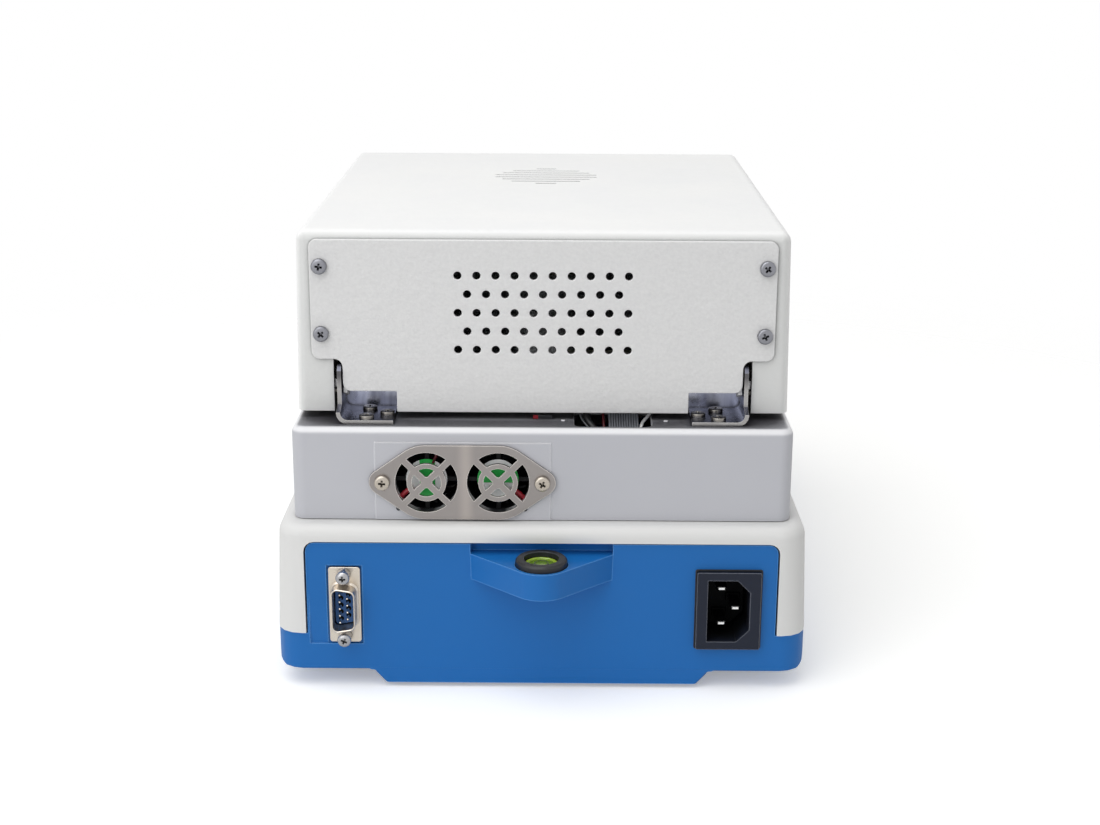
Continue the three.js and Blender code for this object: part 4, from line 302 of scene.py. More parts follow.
# Cables: finish, radius and fineness of a round one, lane, lift over the lid's line, how far it swings aside
# at each (y, z) bend and where it reaches the lid, those bends, and the CAD's cable that it stands for
CABLES = {
    "thick_cable": ("cable_jacket", (1.3, 20), -18.6, 2.9, (-2.0, 2.0, 1.2), CABLE_BENDS, ["lamp_cable"]),
    "thin_cable": ("wire_grey", (0.35, 12), -16.6, 2.3, (-2.3, 2.3, 1.4), CABLE_BENDS, []),
    "red_wire": ("wire_dark_red", (0.5, 14), -23.1, 2.6, (-0.3, 0.3, 0.2), CABLE_BENDS, ["sensor_wire"]),
    "flat_cable": ("ribbon_grey", None, -30.6, 4.2, (-0.1, 0.1, 0.1), CABLE_BENDS, ["ribbon_cable"]),
    "clear_sleeve": ("sleeve_clear", (0.65, 16), -37.9, 4.2, (0.7, 0.3, -3.7, -2.9), SLEEVE_BENDS, []),
}

# Ribbon: half width, and its ridges with their span in degrees
RIBBON_HALF = 5.7
RIBBON_RIDGES = 12
RIDGE_ARC = (168, 12)
RIDGE_LIFT = 0.05
RIDGE_SHARE = 0.49

# Small things on the tray: (radius, height) profiles, places, and the side view of the lid switch
DIMPLE = ((0, 0), (0.9, 0), (0.9, 0.12), (0.7, 0.25), (0.45, 0.1), (0, 0.1))
DIMPLE_PLACES = (53.7, 6.3)
DIMPLE_RISE = 69.7
PIP = ((0, -0.1), (0.85, -0.1), (0.85, 0.2), (0.65, 0.4), (0.3, 0.5), (0, 0.52))
PIP_PLACES = (-7.7, -46.2)
PIP_LINE = 130.8
SWITCH_HALF = 3.5
SWITCH_SIDE = ((124.5, -0.1), (128.2, -0.1), (128.2, 1.3), (126.2, 0.7), (124.5, 0.4))
SWITCH_EDGE = 0.1
LEVER_WIDTH = 1.9
LEVER_PLACE = (SWITCH_HALF - 1.8, 0.12, 0.06)

# Lamp and pan, round the middle of the sample chamber
CHAMBER_Y = -5.04
TUBE_INSET = 4.5
FILAMENT_FROM = -84
FILAMENT_SWEEP = 348
FILAMENT_TURNS = 90
FILAMENT_STEPS = 8
FILAMENT_COIL = 1.3
FILAMENT_RADIUS = 0.22
PAN_WALL = 0.8
PAN_RIM = 4
PAN_BEND = 0.6
PAN_OUTSIDE = ((1.6, 0), (0.5, 0.4), (0, 1.4))
PAN_INSIDE = ((PAN_WALL, 1.7), (1.8, PAN_WALL))
PAN_LIP = 0.7
LIP_INSET = 0.2
LIP_ANGLES = (-60, -20, 20, 60, 90)
BEAD_RADII = (26, 25.5, 25, 24.5, 24)
BEAD_HEIGHT = 0.12

# Console: origin, slope, the keys' height over the deck, and their marks
CONSOLE_ORIGIN = Vector((0, -127.0, 52.5))
CONSOLE_UP = Vector((0, 0.9523, 0.3052))
CONSOLE_OUT = Vector((0, -0.3052, 0.9523))
KEY_LINE = -20.0
KEY_RISE = 1.62
MARK_THICK = 0.12
MARK_EDGE = 0.03
MARK_CORNER = 0.25
POWER_SPAN = (125, 415)
POWER_RADII = (2.2, 1.6)
POWER_BAR = (0.32, 1.1, 0.2, 0, 1.6)
UP_MARK = ((-2.3, -1.5), (2.3, -1.5), (0, 2.2))
DOWN_MARK = ((0, -2.2), (2.3, 1.5), (-2.3, 1.5))
STOP_HALF = 1.8
PAUSE_BAR = (2.6, 0.55, 0.2, 0)
PAUSE_RISES = (1.2, -1.2)
START_MARK = ((-1.5, -2.2), (2.2, 0), (-1.5, 2.2))


# Colours and procedural finishes
def linear(code):
    """A written colour as the linear values that a shader takes."""
    parts = [int(code[i:i + 2], 16) / 255 for i in (1, 3, 5)]
    return [c / 12.92 if c <= 0.04045 else ((c + 0.055) / 1.055) ** 2.4 for c in parts] + [1.0]


def settled(thing, **settings):
    """Sets properties of a thing and returns it."""
    for key, value in settings.items():
        setattr(thing, key, value)
    return thing


def add_node(tree, kind, inputs=None, **settings):
    """Adds a node and returns its outputs. Each input is a value, or the output of another node."""
    node = settled(tree.nodes.new(kind), **settings)
    for key, value in (inputs or {}).items():
        if isinstance(value, bpy.types.NodeSocket):
            tree.links.new(value, node.inputs[key])
        else:
            node.inputs[key].default_value = value
    return node.outputs


def ranged(tree, value, low, high, start, end, **settings):
    """Goes from low to high while value goes from start to end."""
    return add_node(tree, "ShaderNodeMapRange", {
        "Value": value, "From Min": start, "From Max": end, "To Min": low, "To Max": high,
    }, **settings)["Result"]


class Finish:
    """One procedural material: a shader and the patterns that drive its colour, roughness and relief."""

    def __init__(self, name, color, roughness, **sockets):
        self.material = bpy.data.materials.new(name)
        self.material.use_nodes = True
        self.tree = self.material.node_tree
        self.shader = self.tree.nodes["Principled BSDF"]
        self.base = linear(color)
        self.bump = None
        for socket, value in {"Base_Color": self.base, "Roughness": roughness, **sockets}.items():
            self.shader.inputs[socket.replace("_", " ")].default_value = value
        finishes[name] = self.material

    def add(self, kind, inputs=None, **settings):
        return add_node(self.tree, "ShaderNode" + kind, inputs, **settings)

    def calc(self, operation, *values):
        return self.add("Math", dict(enumerate(values)), operation=operation)[0]

    def link(self, output, socket):
        self.tree.links.new(output, self.shader.inputs[socket])

    def noise(self, size, detail=3.0, stretch=(1, 1, 1)):
        """A cloudy pattern whose patches are about size across, longer along a stretched axis."""
        source = self.add("TexCoord")["Object"]
        place = self.add("Mapping", {"Vector": source, "Scale": stretch})["Vector"]
        return self.add("TexNoise", {
            "Vector": place, "Scale": 1 / (size * MM), "Detail": detail, "Roughness": NOISE_ROUGH,
        })["Fac"]

    def cells(self, size, feature="F1"):
        source = self.add("TexCoord")["Object"]
        inputs = {"Vector": source, "Scale": 1 / (size * MM)}
        return self.add("TexVoronoi", inputs, feature=feature)["Distance"]

    def axis(self, kind, output, letter):
        """One axis of a place or a normal."""
        return self.add("SeparateXYZ", {"Vector": self.add(kind)[output]})[letter]

    def ranged(self, value, low, high, start=SPAN_LOW, end=SPAN_HIGH):
        return ranged(self.tree, value, low, high, start, end)

    def mask(self, value, start, end, most=SPAN_HIGH, **settings):
        """Goes over the span of a noise while value goes from start to end."""
        return ranged(self.tree, value, SPAN_LOW, most, start, end, **settings)

    def across(self, letter, start, end):
        """Rises along one axis of the part, from start to end."""
        return self.mask(self.axis("TexCoord", "Object", letter), start * MM, end * MM)

    def band(self, letter, middle, start, end, **settings):
        """Rises from start to end, counted both ways from middle along one axis of the part."""
        away = self.calc("SUBTRACT", self.axis("TexCoord", "Object", letter), middle * MM)
        return self.mask(self.calc("ABSOLUTE", away), start * MM, end * MM, **settings)

    def shoulder(self, start, end):
        """Rises where the surface turns from a side to the top."""
        normal = self.add("TexCoord")["Normal"]
        lean = self.add("VectorMath", {0: normal}, operation="ABSOLUTE")["Vector"]
        parts = self.add("SeparateXYZ", {"Vector": lean})
        sideways = self.calc("MAXIMUM", parts["X"], parts["Y"])
        return self.mask(self.calc("MINIMUM", sideways, parts["Z"]), start, end)

    def tint(self, pattern, code, share=1.0):
        """Blends the colour towards another one by a pattern, by share at most."""
        amount = self.ranged(pattern, 0.0, share)
        mix = {"Factor": amount, MIX_FROM: self.base, MIX_TO: linear(code)}
        self.base = self.add("Mix", mix, data_type="RGBA")[MIX_RESULT]
        self.link(self.base, "Base Color")
        return self

    def clouds(self, size, code, share, detail=3.0, stretch=(1, 1, 1)):
        return self.tint(self.noise(size, detail, stretch), code, share)

    def gloss(self, size, low, high, detail=3.0):
        """Lets the roughness wander between low and high."""
        self.link(self.ranged(self.noise(size, detail), low, high), "Roughness")
        return self

    def relief(self, pattern, height, strength=1.0):
        """Raises the surface by a pattern, height at most."""
        inputs = {"Height": pattern, "Distance": height * MM, "Strength": strength}
        if self.bump is not None:
            inputs["Normal"] = self.bump
        self.bump = self.add("Bump", inputs)["Normal"]
        self.link(self.bump, "Normal")
        return self

    def grain(self, size, height, strength=1.0, detail=3.0, stretch=(1, 1, 1)):
        return self.relief(self.noise(size, detail, stretch), height, strength)

    def edges(self, radius, code, share):
        """Lighter edges, mostly painted highlight and partly wear: the colour shifts where the surface turns
        within radius.
        """
        rounded = self.add("Bevel", {"Radius": radius * MM}, samples=4)["Normal"]
        plain = self.add("NewGeometry")["Normal"]
        same = self.add("VectorMath", {0: rounded, 1: plain}, operation="DOT_PRODUCT")["Value"]
        return self.tint(self.mask(same, EDGE_TINT_FROM, EDGE_TINT_FULL), code, share)

    def painted_crease_shade(self, distance, code, share, clear=0.75, dense=0.25, upward=False):
        """Painted shade in corners: the colour shifts where the surface is hemmed in."""
        open_sky = self.add("AmbientOcclusion", {"Distance": distance * MM}, samples=6)["AO"]
        most = SPAN_HIGH
        if upward:
            most = self.mask(self.axis("NewGeometry", "Normal", "Z"), 0.5, 0.9)
        return self.tint(self.mask(open_sky, clear, dense, most), code, share)


def moulded(name, color, roughness, size, height, spread, shade, shine=0.5):
    """Moulded plastic with a spark-eroded grain, slight blotches and a soft sheen."""
    look = Finish(name, color, roughness, IOR=1.47, Specular_IOR_Level=shine)
    look.clouds(60, shade, 0.35, 2.0)
    look.gloss(9, roughness - spread, roughness + spread, 4.0)
    return look.grain(size, height, 0.6, 2.0)


def make_plastics():
    # In these plastics the lighter edge tints are painted highlight, and the crease tints are painted shade
    # in corners
    moulded("blue_plastic", "#1869b3", 0.36, 0.5, 0.02, 0.06, "#1965ae", 0.3).edges(0.6, "#6caae8", 0.75)
    moulded("black_plastic", "#1b1c20", 0.4, 0.4, 0.02, 0.08, "#232529").edges(0.5, "#5c5f66", 0.7)
    moulded("key_grey", "#8d949c", 0.5, 0.5, 0.02, 0.06, "#868d95").edges(0.6, "#a9afb6", 0.5)
    # Near-black, darker than the black plastic: it carries painted shade deep in the inlet's recess and round
    # the serial pins
    moulded("inlet_deep", "#060709", 0.6, 0.5, 0.02, 0.06, "#040506", 0.1)
    moulded("fan_black", "#0a0b0d", 0.55, 0.4, 0.02, 0.08, "#101114", 0.2)
    white = moulded("white_plastic", "#dcdcdb", 0.44, 0.7, 0.03, 0.05, "#d6d6d5")
    white.edges(0.8, "#f1f1f0", 0.5).painted_crease_shade(5, "#b8b8b6", 0.5)
    inlet = moulded("inlet_black", "#1b2130", 0.5, 0.5, 0.02, 0.06, "#181d2b", 0.3)
    # Painted highlight on the inlet's edges, and black painted shade across its recess
    inlet.edges(0.5, "#8d9099", 0.85).painted_crease_shade(14, "#050608", 1.0, 0.8, 0.55)
    insert = moulded("insert_blue", "#19569a", 0.35, 0.4, 0.02, 0.06, "#164a84")
    # Painted shade round the pins inside the cup
    insert.painted_crease_shade(1.6, "#06162e", 0.9, 0.6, 0.2)
    tray = moulded("grey_plastic", "#bfc0c6", 0.42, 0.6, 0.03, 0.05, "#b8b9c0")
    tray.edges(0.6, "#eeeef2", 0.75).painted_crease_shade(5, "#85868c", 0.5)
    # Painted shade on the tray's upward faces where the lid hangs over them
    tray.painted_crease_shade(40, "#19171d", 0.95, 0.98, 0.7, upward=True)
    # Painted highlight along the tray's rounded top edge
    tray.tint(tray.shoulder(0.2, 0.5), "#f6f6f8", 0.7)


def make_lid_white():
    """The lid's leathery white: small soft cells over a finer grain, and painted shade on its rear face."""
    look = Finish("lid_white", "#f2f2f1", 0.5, IOR=1.47)
    look.clouds(40, "#ecedee", 0.5)
    # Painted shade: faces turned to the rear are greyer
    look.tint(look.mask(look.axis("TexCoord", "Normal", "Y"), 0.6, 0.9), "#d9dad9", 0.9)
    look.gloss(5, 0.44, 0.58, 4.0)
    look.grain(2.6, 0.2, 0.8)
    look.relief(look.cells(1.3, "SMOOTH_F1"), 0.07, 0.6)
    look.grain(0.6, 0.04, 0.6)
    # Painted highlight on the edges, and painted shade in the vents and creases
    look.edges(0.8, "#ffffff", 0.6).painted_crease_shade(4, "#3c3c3e", 0.95, 0.85, 0.4)


def make_plate_paint():
    """Powder coat on sheet metal: orange peel with fine specks."""
    look = Finish("plate_paint", "#e1e1e1", 0.47, IOR=1.5)
    look.clouds(1.2, "#cfcfd0", 0.4, 4.0)
    look.gloss(3, 0.4, 0.55)
    look.grain(2.6, 0.3, 0.8)
    look.relief(look.cells(1.0, "SMOOTH_F1"), 0.09, 0.7)
    look.grain(0.45, 0.04, 0.6)
    # Painted highlight along the edges and the rims of the holes
    look.edges(0.5, "#ffffff", 0.9)


def metal(name, color, roughness, dark, stretch=(1, 1, 1)):
    """Rolled or brushed metal: fine lines along the stretched axis and a cloudy reflection."""
    look = Finish(name, color, roughness, Metallic=1.0)
    lines = look.noise(0.25, 3.0, stretch)
    look.clouds(7, dark, 0.4, 4.0).tint(lines, dark, 0.25)
    look.gloss(2.5, roughness - METAL_SPREAD, roughness + METAL_SPREAD, 4.0)
    return look.relief(lines, 0.006, 0.5)


def make_metals():
    metal("steel", "#b4afa9", 0.3, "#a09b95", (0.03, 1, 1))
    metal("aluminium", "#d0d2d5", 0.26, "#c2c5c9", (1, 0.04, 1))
    metal("filament", "#8a8886", 0.3, "#6d6b6a")
    metal("pin_bright", "#fbf6ec", 0.2, "#ece4d6")
    # The screws' crease tints are painted shade in their recesses; the dark screws' light edges are a painted
    # highlight
    metal("screw_steel", "#b4b4b6", 0.28, "#9a9a9d").painted_crease_shade(1.5, "#26262a", 0.9)
    metal("screw_grey", "#919298", 0.32, "#7b7c83").painted_crease_shade(1.5, "#2a2a2e", 0.9)
    metal("screw_tan", "#c0b8ad", 0.28, "#a9a196").painted_crease_shade(1.5, "#3a3630", 0.9)
    metal("screw_dark", "#8d8984", 0.3, "#6c6965").painted_crease_shade(1.5, "#1c1b1d", 0.9).edges(0.3, "#f6f4ef", 0.9)
    tin = metal("tin", "#ddd4c8", 0.32, "#c8bdae")
    # Painted highlight on the tin's edges, and brown painted shade round the sleeve's raised border
    tin.edges(0.3, "#f3ede4", 0.6).painted_crease_shade(1.8, "#4d3f30", 0.75, 0.7, 0.35)


def make_guard_steel():
    """Smooth stainless sheet with a painted reflection that makes it a little lighter between the fans."""
    look = Finish("guard_steel", "#9b9694", 0.32, Metallic=1.0)
    look.clouds(14, "#8f8a88", 0.5, 2.0)
    # Painted reflection: a lighter band between the fans
    gleam = look.band("X", PAINTED_GLEAM_PLACE, PAINTED_GLEAM_REACH, 0.0, interpolation_type="SMOOTHSTEP")
    look.tint(gleam, "#cdc2bb", 0.32)
    look.gloss(6, 0.28, 0.36, 2.0)
    look.grain(0.3, 0.003, 0.4, 2.0, (0.03, 1, 1))
    # Painted highlight round the slots and edges
    look.edges(0.5, "#fffaf4", 0.9)


def make_bracket_steel():
    """Bent sheet with a bluish sheen, greyer cut edges, painted edge highlights and painted shade."""
    look = Finish("bracket_steel", "#c6cadb", 0.28, Metallic=1.0)
    look.clouds(3.5, "#83869c", 0.8, 2.0, (1, 1, 0.25))
    look.gloss(5, 0.24, 0.34, 2.0)
    look.grain(0.3, 0.003, 0.4, 2.0, (1, 1, 0.04))
    rear = look.axis("NewGeometry", "Normal", "Y")
    cut_edge = look.calc("MULTIPLY", look.ranged(rear, 0.0, 1.0, 0.6, 0.9), look.across("Y", *BRACKET_CUT))
    # Painted shade on faces turned away from the rear
    look.tint(look.mask(rear, 0.9, 0.3), "#5b5c68", 0.75)
    look.tint(cut_edge, "#a19e99", 0.85)
    # Painted highlight along the edges
    look.edges(0.3, "#f2f0ec", 0.7)
    # Painted shade under the lid, darker higher up
    look.tint(look.across("Z", *BRACKET_SHADE), "#33333b", 0.75)
    # Painted shade in the folds
    look.painted_crease_shade(1.8, "#14141b", 0.95, 0.7, 0.4)


def make_contact_tin():
    """Plated contacts painted dark for the recess's shade, with a painted highlight at their tips."""
    look = Finish("contact_tin", "#1b1b1e", 0.35, Metallic=0.8)
    # Painted highlight at the tips
    look.tint(look.across("Z", *(CONTACT_LENGTH - back for back in CONTACT_TIP)), "#ffffff")
    look.gloss(1.0, 0.26, 0.4)


def make_label(name, letter, middle, half):
    """Foil with one green band across it, nothing printed."""
    look = Finish(name, "#ffffff", 0.34)
    look.clouds(2.0, "#dfe5e6", 0.5)
    look.tint(look.band(letter, middle, half + BAND_BLUR, half - BAND_BLUR), "#2fbe55")
    look.gloss(1.5, 0.26, 0.44)
    look.grain(2.0, 0.03)


def clear(name, color, roughness, through, bending, coat=0.0):
    """Glass, a liquid or clear plastic."""
    return Finish(name, color, roughness, Transmission_Weight=through, IOR=bending, Coat_Weight=coat)


def make_clear_things():
    clear("clear_glass", "#f2f8f8", 0.03, 1.0, 1.46).gloss(8, 0.02, 0.05)
    clear("lamp_glass", "#fbf4e2", 0.04, 0.9, 1.46).clouds(6, "#e9dcc0", 0.6)
    clear("lime", "#b7d72c", 0.08, 0.35, 1.4, 1.0).clouds(5, "#9cc41e", 0.6)
    clear("lime_liquid", "#8fb81f", 0.04, 0.55, 1.36, 1.0).clouds(3, "#7aa516", 0.5)
    clear("bubble", "#dcef9a", 0.05, 0.75, 1.12, 1.0).clouds(1.0, "#c6df6c", 0.4)
    clear("sleeve_clear", "#ffffff", 0.1, 0.1, 1.45, 1.0).clouds(0.5, "#5d646d", 0.6).grain(0.6, 0.3)


def make_small_finishes():
    """Boards, screen, ceramic, rubber, print, and the jackets of cables and wires."""
    board = Finish("board", "#1f6b3a", 0.35, Coat_Weight=0.4)
    board.tint(board.cells(2.4), "#185a30", 0.8).relief(board.cells(1.2), 0.03)
    Finish("screen", "#39474b", 0.12, Coat_Weight=0.6).clouds(30, "#445357", 0.6).grain(0.8, 0.005)
    Finish("ceramic", "#e8e2d2", 0.65).clouds(1.5, "#d8d0bd", 0.7, 4.0).grain(0.6, 0.05, detail=4.0)
    rubber = Finish("rubber", "#1d1d1f", 0.75)
    # The rubber's lighter edges are a painted highlight
    rubber.clouds(2, "#2b2b2d", 0.8, 4.0).grain(0.5, 0.05).edges(0.5, "#3d3d40", 0.6)
    Finish("print_white", "#e9ecee", 0.5).clouds(0.8, "#d3d8db", 0.7, 4.0).grain(0.3, 0.01)
    Finish("cable_jacket", "#141416", 0.4).clouds(3, "#232327", 0.8).grain(0.6, 0.02)
    Finish("wire_red", "#a81c2c", 0.35).clouds(2, "#7c1420", 0.8).grain(0.5, 0.01)
    Finish("wire_dark_red", "#5a1019", 0.4).clouds(2, "#430c13", 0.8).grain(0.5, 0.01)
    Finish("wire_grey", "#7c7f84", 0.4).clouds(2, "#5f6267", 0.8).grain(0.5, 0.01)
    ribbon = Finish("ribbon_grey", "#7d8087", 0.42)
    # Painted shade between the ribbon's ridges
    ribbon.clouds(2.5, "#6a6d75", 0.8).painted_crease_shade(0.5, "#1d1e22", 0.9, 0.9, 0.5).grain(0.5, 0.02)


# Meshes, built in millimetres
def linked(name, data):
    piece = bpy.data.objects.new(name, data)
    bpy.context.scene.collection.objects.link(piece)
    return piece


def baked(piece):
    """Applies a piece's modifiers, or turns its curve into a mesh, and returns the plain mesh."""
    shown = piece.evaluated_get(bpy.context.evaluated_depsgraph_get())
    mesh = bpy.data.meshes.new_from_object(shown)
    bpy.data.objects.remove(piece)
    return mesh


def smooth_by_angle(mesh, angle=EDGE_ANGLE):
    """Smooth faces, with sharp edges where the surface turns more than angle."""
    work = bmesh.new()
    work.from_mesh(mesh)
    bmesh.ops.remove_doubles(work, verts=work.verts, dist=WELD / 10)
    bmesh.ops.recalc_face_normals(work, faces=work.faces)
    for face in work.faces:
        face.smooth = True
    for edge in work.edges:
        edge.smooth = len(edge.link_faces) == 2 and edge.calc_face_angle(0.0) < angle
    work.to_mesh(mesh)
    work.free()
    return mesh


def mesh_from(points, faces):
    mesh = bpy.data.meshes.new("shape")
    mesh.from_pydata([tuple(p) for p in points], [], faces)
    return smooth_by_angle(mesh)


def merged(meshes):
    """One mesh of several, left where they are."""
    work = bmesh.new()
    for mesh in meshes:
        work.from_mesh(mesh)
    mesh = bpy.data.meshes.new("merged")
    work.to_mesh(mesh)
    work.free()
    return mesh


def moved(mesh, offset):
    mesh.transform(Matrix.Translation(offset))
    return mesh


def turned(profile, steps=ROUND):
    """Revolves (radius, z) points about Z. A radius of 0 closes the end."""
    points = []
    rings = []
    for radius, z in profile:
        count = 1 if radius == 0 else steps
        rings.append([len(points) + i for i in range(count)])
        points += [(u, v, z) for u, v in circle(0, 0, radius, count)]
    faces = []
    for low, high in zip(rings, rings[1:]):
        for i in range(steps):
            j = (i + 1) % steps
            corners = [low[i % len(low)], low[j % len(low)], high[j % len(high)], high[i % len(high)]]
            faces.append(list(dict.fromkeys(corners)))
    return mesh_from(points, faces)


def circle(u, v, radius, steps=SMALL_ROUND):
    angles = [2 * math.pi * i / steps for i in range(steps)]
    return [(u + radius * math.cos(a), v + radius * math.sin(a)) for a in angles]


def arc(u, v, radius, start, end, steps=ARC):
    """Points of an arc, angles in degrees."""
    angles = [math.radians(start + (end - start) * i / steps) for i in range(steps + 1)]
    return [(u + radius * math.cos(a), v + radius * math.sin(a)) for a in angles]


def rounded(corners, radius, steps=ARC):
    """A polygon with round corners. Each corner is (u, v), or (u, v, its own radius)."""
    points = []
    for i, corner in enumerate(corners):
        here = Vector(corner[:2])
        back = (Vector(corners[i - 1][:2]) - here).normalized()
        ahead = (Vector(corners[(i + 1) % len(corners)][:2]) - here).normalized()
        half = back.angle(ahead) / 2
        bend = corner[2] if len(corner) > 2 else radius
        centre = here + (back + ahead).normalized() * bend / math.sin(half)
        first = here + back * bend / math.tan(half) - centre
        start = math.degrees(math.atan2(first.y, first.x))
        turn = (180 - 2 * math.degrees(half)) * math.copysign(1, ahead.cross(back))
        points += arc(centre.x, centre.y, bend, start, start + turn, steps)
    return points


def box_outline(half_u, half_v, radius, u=0, v=0):
    """A rectangle with round corners about (u, v)."""
    signs = ((-1, -1), (1, -1), (1, 1), (-1, 1))
    return rounded([(u + side * half_u, v + end * half_v) for side, end in signs], radius)


def rings_skinned(count, total, closed=False):
    """Faces between rings of count points: capped at both ends, or closed into a loop of rings."""
    faces = []
    for k in range(total if closed else total - 1):
        low = k * count
        high = (k + 1) % total * count
        for i in range(count):
            j = (i + 1) % count
            faces.append((low + i, low + j, high + j, high + i))
    if not closed:
        faces += [tuple(range(count)), tuple(range((total - 1) * count, total * count))]
    return faces


def lofted(sections, closed=False):
    """Skins (outline, z) sections of equal count."""
    points = [(u, v, z) for outline, z in sections for u, v in outline]
    return mesh_from(points, rings_skinned(len(sections[0][0]), len(sections), closed))


def swept(path, section, side=X):
    """Carries a closed section along a path, its first axis kept nearest to side."""
    points = []
    for i, centre in enumerate(path):
        along = (path[min(i + 1, len(path) - 1)] - path[max(i - 1, 0)]).normalized()
        over = side.cross(along).normalized()
        across = along.cross(over)
        points += [centre + across * u + over * v for u, v in section]
    return mesh_from(points, rings_skinned(len(section), len(path)))


def carved(mesh, cutter):
    """Cuts one closed mesh out of another."""
    body = linked("body", mesh)
    tool = linked("tool", cutter)
    settled(body.modifiers.new("cut", "BOOLEAN"), operation="DIFFERENCE", object=tool)
    made = baked(body)
    bpy.data.objects.remove(tool)
    return smooth_by_angle(made)


def sheet_mesh(outline, holes, thickness, edge):
    """A flat piece with a bevelled edge, its faces at 0 and thickness. Outline and holes run the same way."""
    curve = settled(
        bpy.data.curves.new("outline", "CURVE"), dimensions="2D", fill_mode="BOTH",
        extrude=thickness / 2 - edge, bevel_depth=edge, bevel_resolution=1, offset=-edge,
    )
    for ring in [outline] + [hole[::-1] for hole in holes]:
        spline = curve.splines.new("POLY")
        spline.points.add(len(ring) - 1)
        for point, (u, v) in zip(spline.points, ring):
            point.co = (u, v, 0, 1)
        spline.use_cyclic_u = True
    return moved(smooth_by_angle(baked(linked("outline", curve))), (0, 0, thickness / 2))


def smooth_path(points, steps=PATH):
    """A Catmull-Rom curve through the points."""
    path = []
    ends = [2 * points[0] - points[1]] + list(points) + [2 * points[-1] - points[-2]]
    for a, b, c, d in zip(ends, ends[1:], ends[2:], ends[3:]):
        for i in range(steps):
            t = i / steps
            path.append(0.5 * (
                2 * b + (c - a) * t + (2 * a - 5 * b + 4 * c - d) * t * t + (3 * b - a - 3 * c + d) * t ** 3
            ))
    return path + [points[-1]]


# Pieces and their places
def box(node):
    """A carried-over part's lowest and highest corners."""
    low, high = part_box(node)
    return Vector(low) / MM, Vector(high) / MM


def middle(node):
    low, high = box(node)
    return (low + high) / 2


def half_size(node):
    low, high = box(node)
    return (high - low) / 2


def standing(point, out, up=Z):
    """A frame whose Z points out of a surface and whose Y is nearest to up."""
    z = out.normalized()
    x = up.cross(z).normalized()
    y = z.cross(x)
    return Matrix.Translation(Vector(point) * MM) @ Matrix((x, y, z)).transposed().to_4x4()


def rearward(x, y, z):
    """Seen from behind: X to the right, Y up, Z towards the viewer."""
    return standing((x, y, z), Y)


def spun(place, angle):
    return place @ Matrix.Rotation(angle, 4, "Z")


def paint(part, finish):
    part.data.materials.clear()
    part.data.materials.append(finishes[finish])


def weigh_normals(part):
    """Keeps broad faces flat in shading, and lets the narrow ones round off."""
    settled(part.modifiers.new("weighted", "WEIGHTED_NORMAL"), keep_sharp=True, weight=NORMAL_WEIGHT)


def piece(name, mesh, finish, body="base", place=Matrix(), stands_for=()):
    """Makes one object of a millimetre mesh, attached to its body when it has one."""
    data = mesh.copy()
    data.transform(Matrix.Scale(MM, 4))
    made = linked(name, data)
    made.matrix_world = place
    paint(made, finish)
    if body:
        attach(made, body)
        weigh_normals(made)
    if stands_for:
        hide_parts(*stands_for)
    return made


# Screws
def cross(reach, half):
    arm = [(reach, -half), (reach, half), (half, half)]
    quarters = [(1, 0), (0, 1), (-1, 0), (0, -1)]
    return [(u * c - v * s, u * s + v * c) for c, s in quarters for u, v in arm]


def screw_mesh(radius, rise, dome):
    """A pan head seated at 0, with a tapered cross recess. Dome is the share of it that is rounded."""
    side = HEAD_SIDE_SHARE - dome
    crown = [
        (radius * (1 - dome + dome * math.cos(a)), rise * (side + (1 - side) * math.sin(a)))
        for a in map(math.radians, range(0, 91, 18))
    ]
    foot = [(0, 0), (radius * HEAD_FOOT_SHARE, 0), (radius, rise * HEAD_SEAT_SHARE)]
    head = turned(foot + crown + [(0, rise * HEAD_TOP_SHARE)])
    scale = radius / HEAD_RADIUS
    reach = RECESS_REACH * scale
    half = RECESS_HALF * scale
    by_reach, by_half, by_rise = RECESS_FLOOR_SHARES
    floor = cross(reach * by_reach, half * by_half)
    full = cross(reach, half)
    cutter = lofted([(floor, rise * by_rise), (full, rise), (full, rise * RECESS_TOP_SHARE)])
    return carved(head, cutter)


def add_screws():
    head = screw_mesh(HEAD_RADIUS, HEAD_RISE, HEAD_DOME)
    low_head = screw_mesh(*BRACKET_HEAD)
    plate = box("rear_plate")[1]
    foot = box("hinge_bracket_right")[0].z + BRACKET_THICK
    for name, side in SIDES:
        for k, drop in enumerate(PLATE_SCREW_DROPS):
            place = rearward(side * (plate.x - PLATE_SCREW_INSET), plate.y, plate.z - drop)
            place = spun(place, PLATE_TURN + k + side)
            piece(f"plate_screw_{name}_{k + 1}", head, "screw_grey", "lid", place)
        for k, (x, y) in enumerate(BRACKET_SCREWS):
            place = spun(standing((side * x, y, foot), Z, Y), BRACKET_TURN * k + side)
            piece(f"bracket_screw_{name}_{k + 1}", low_head, "screw_dark", "base", place)
    centre = middle("fan_grille")
    for name, side in SIDES:
        place = rearward(centre.x + side * END_REACH, box("fan_grille")[1].y, centre.z)
        piece("grille_screw_" + name, head, "screw_tan", "base", spun(place, GRILLE_TURN + side))


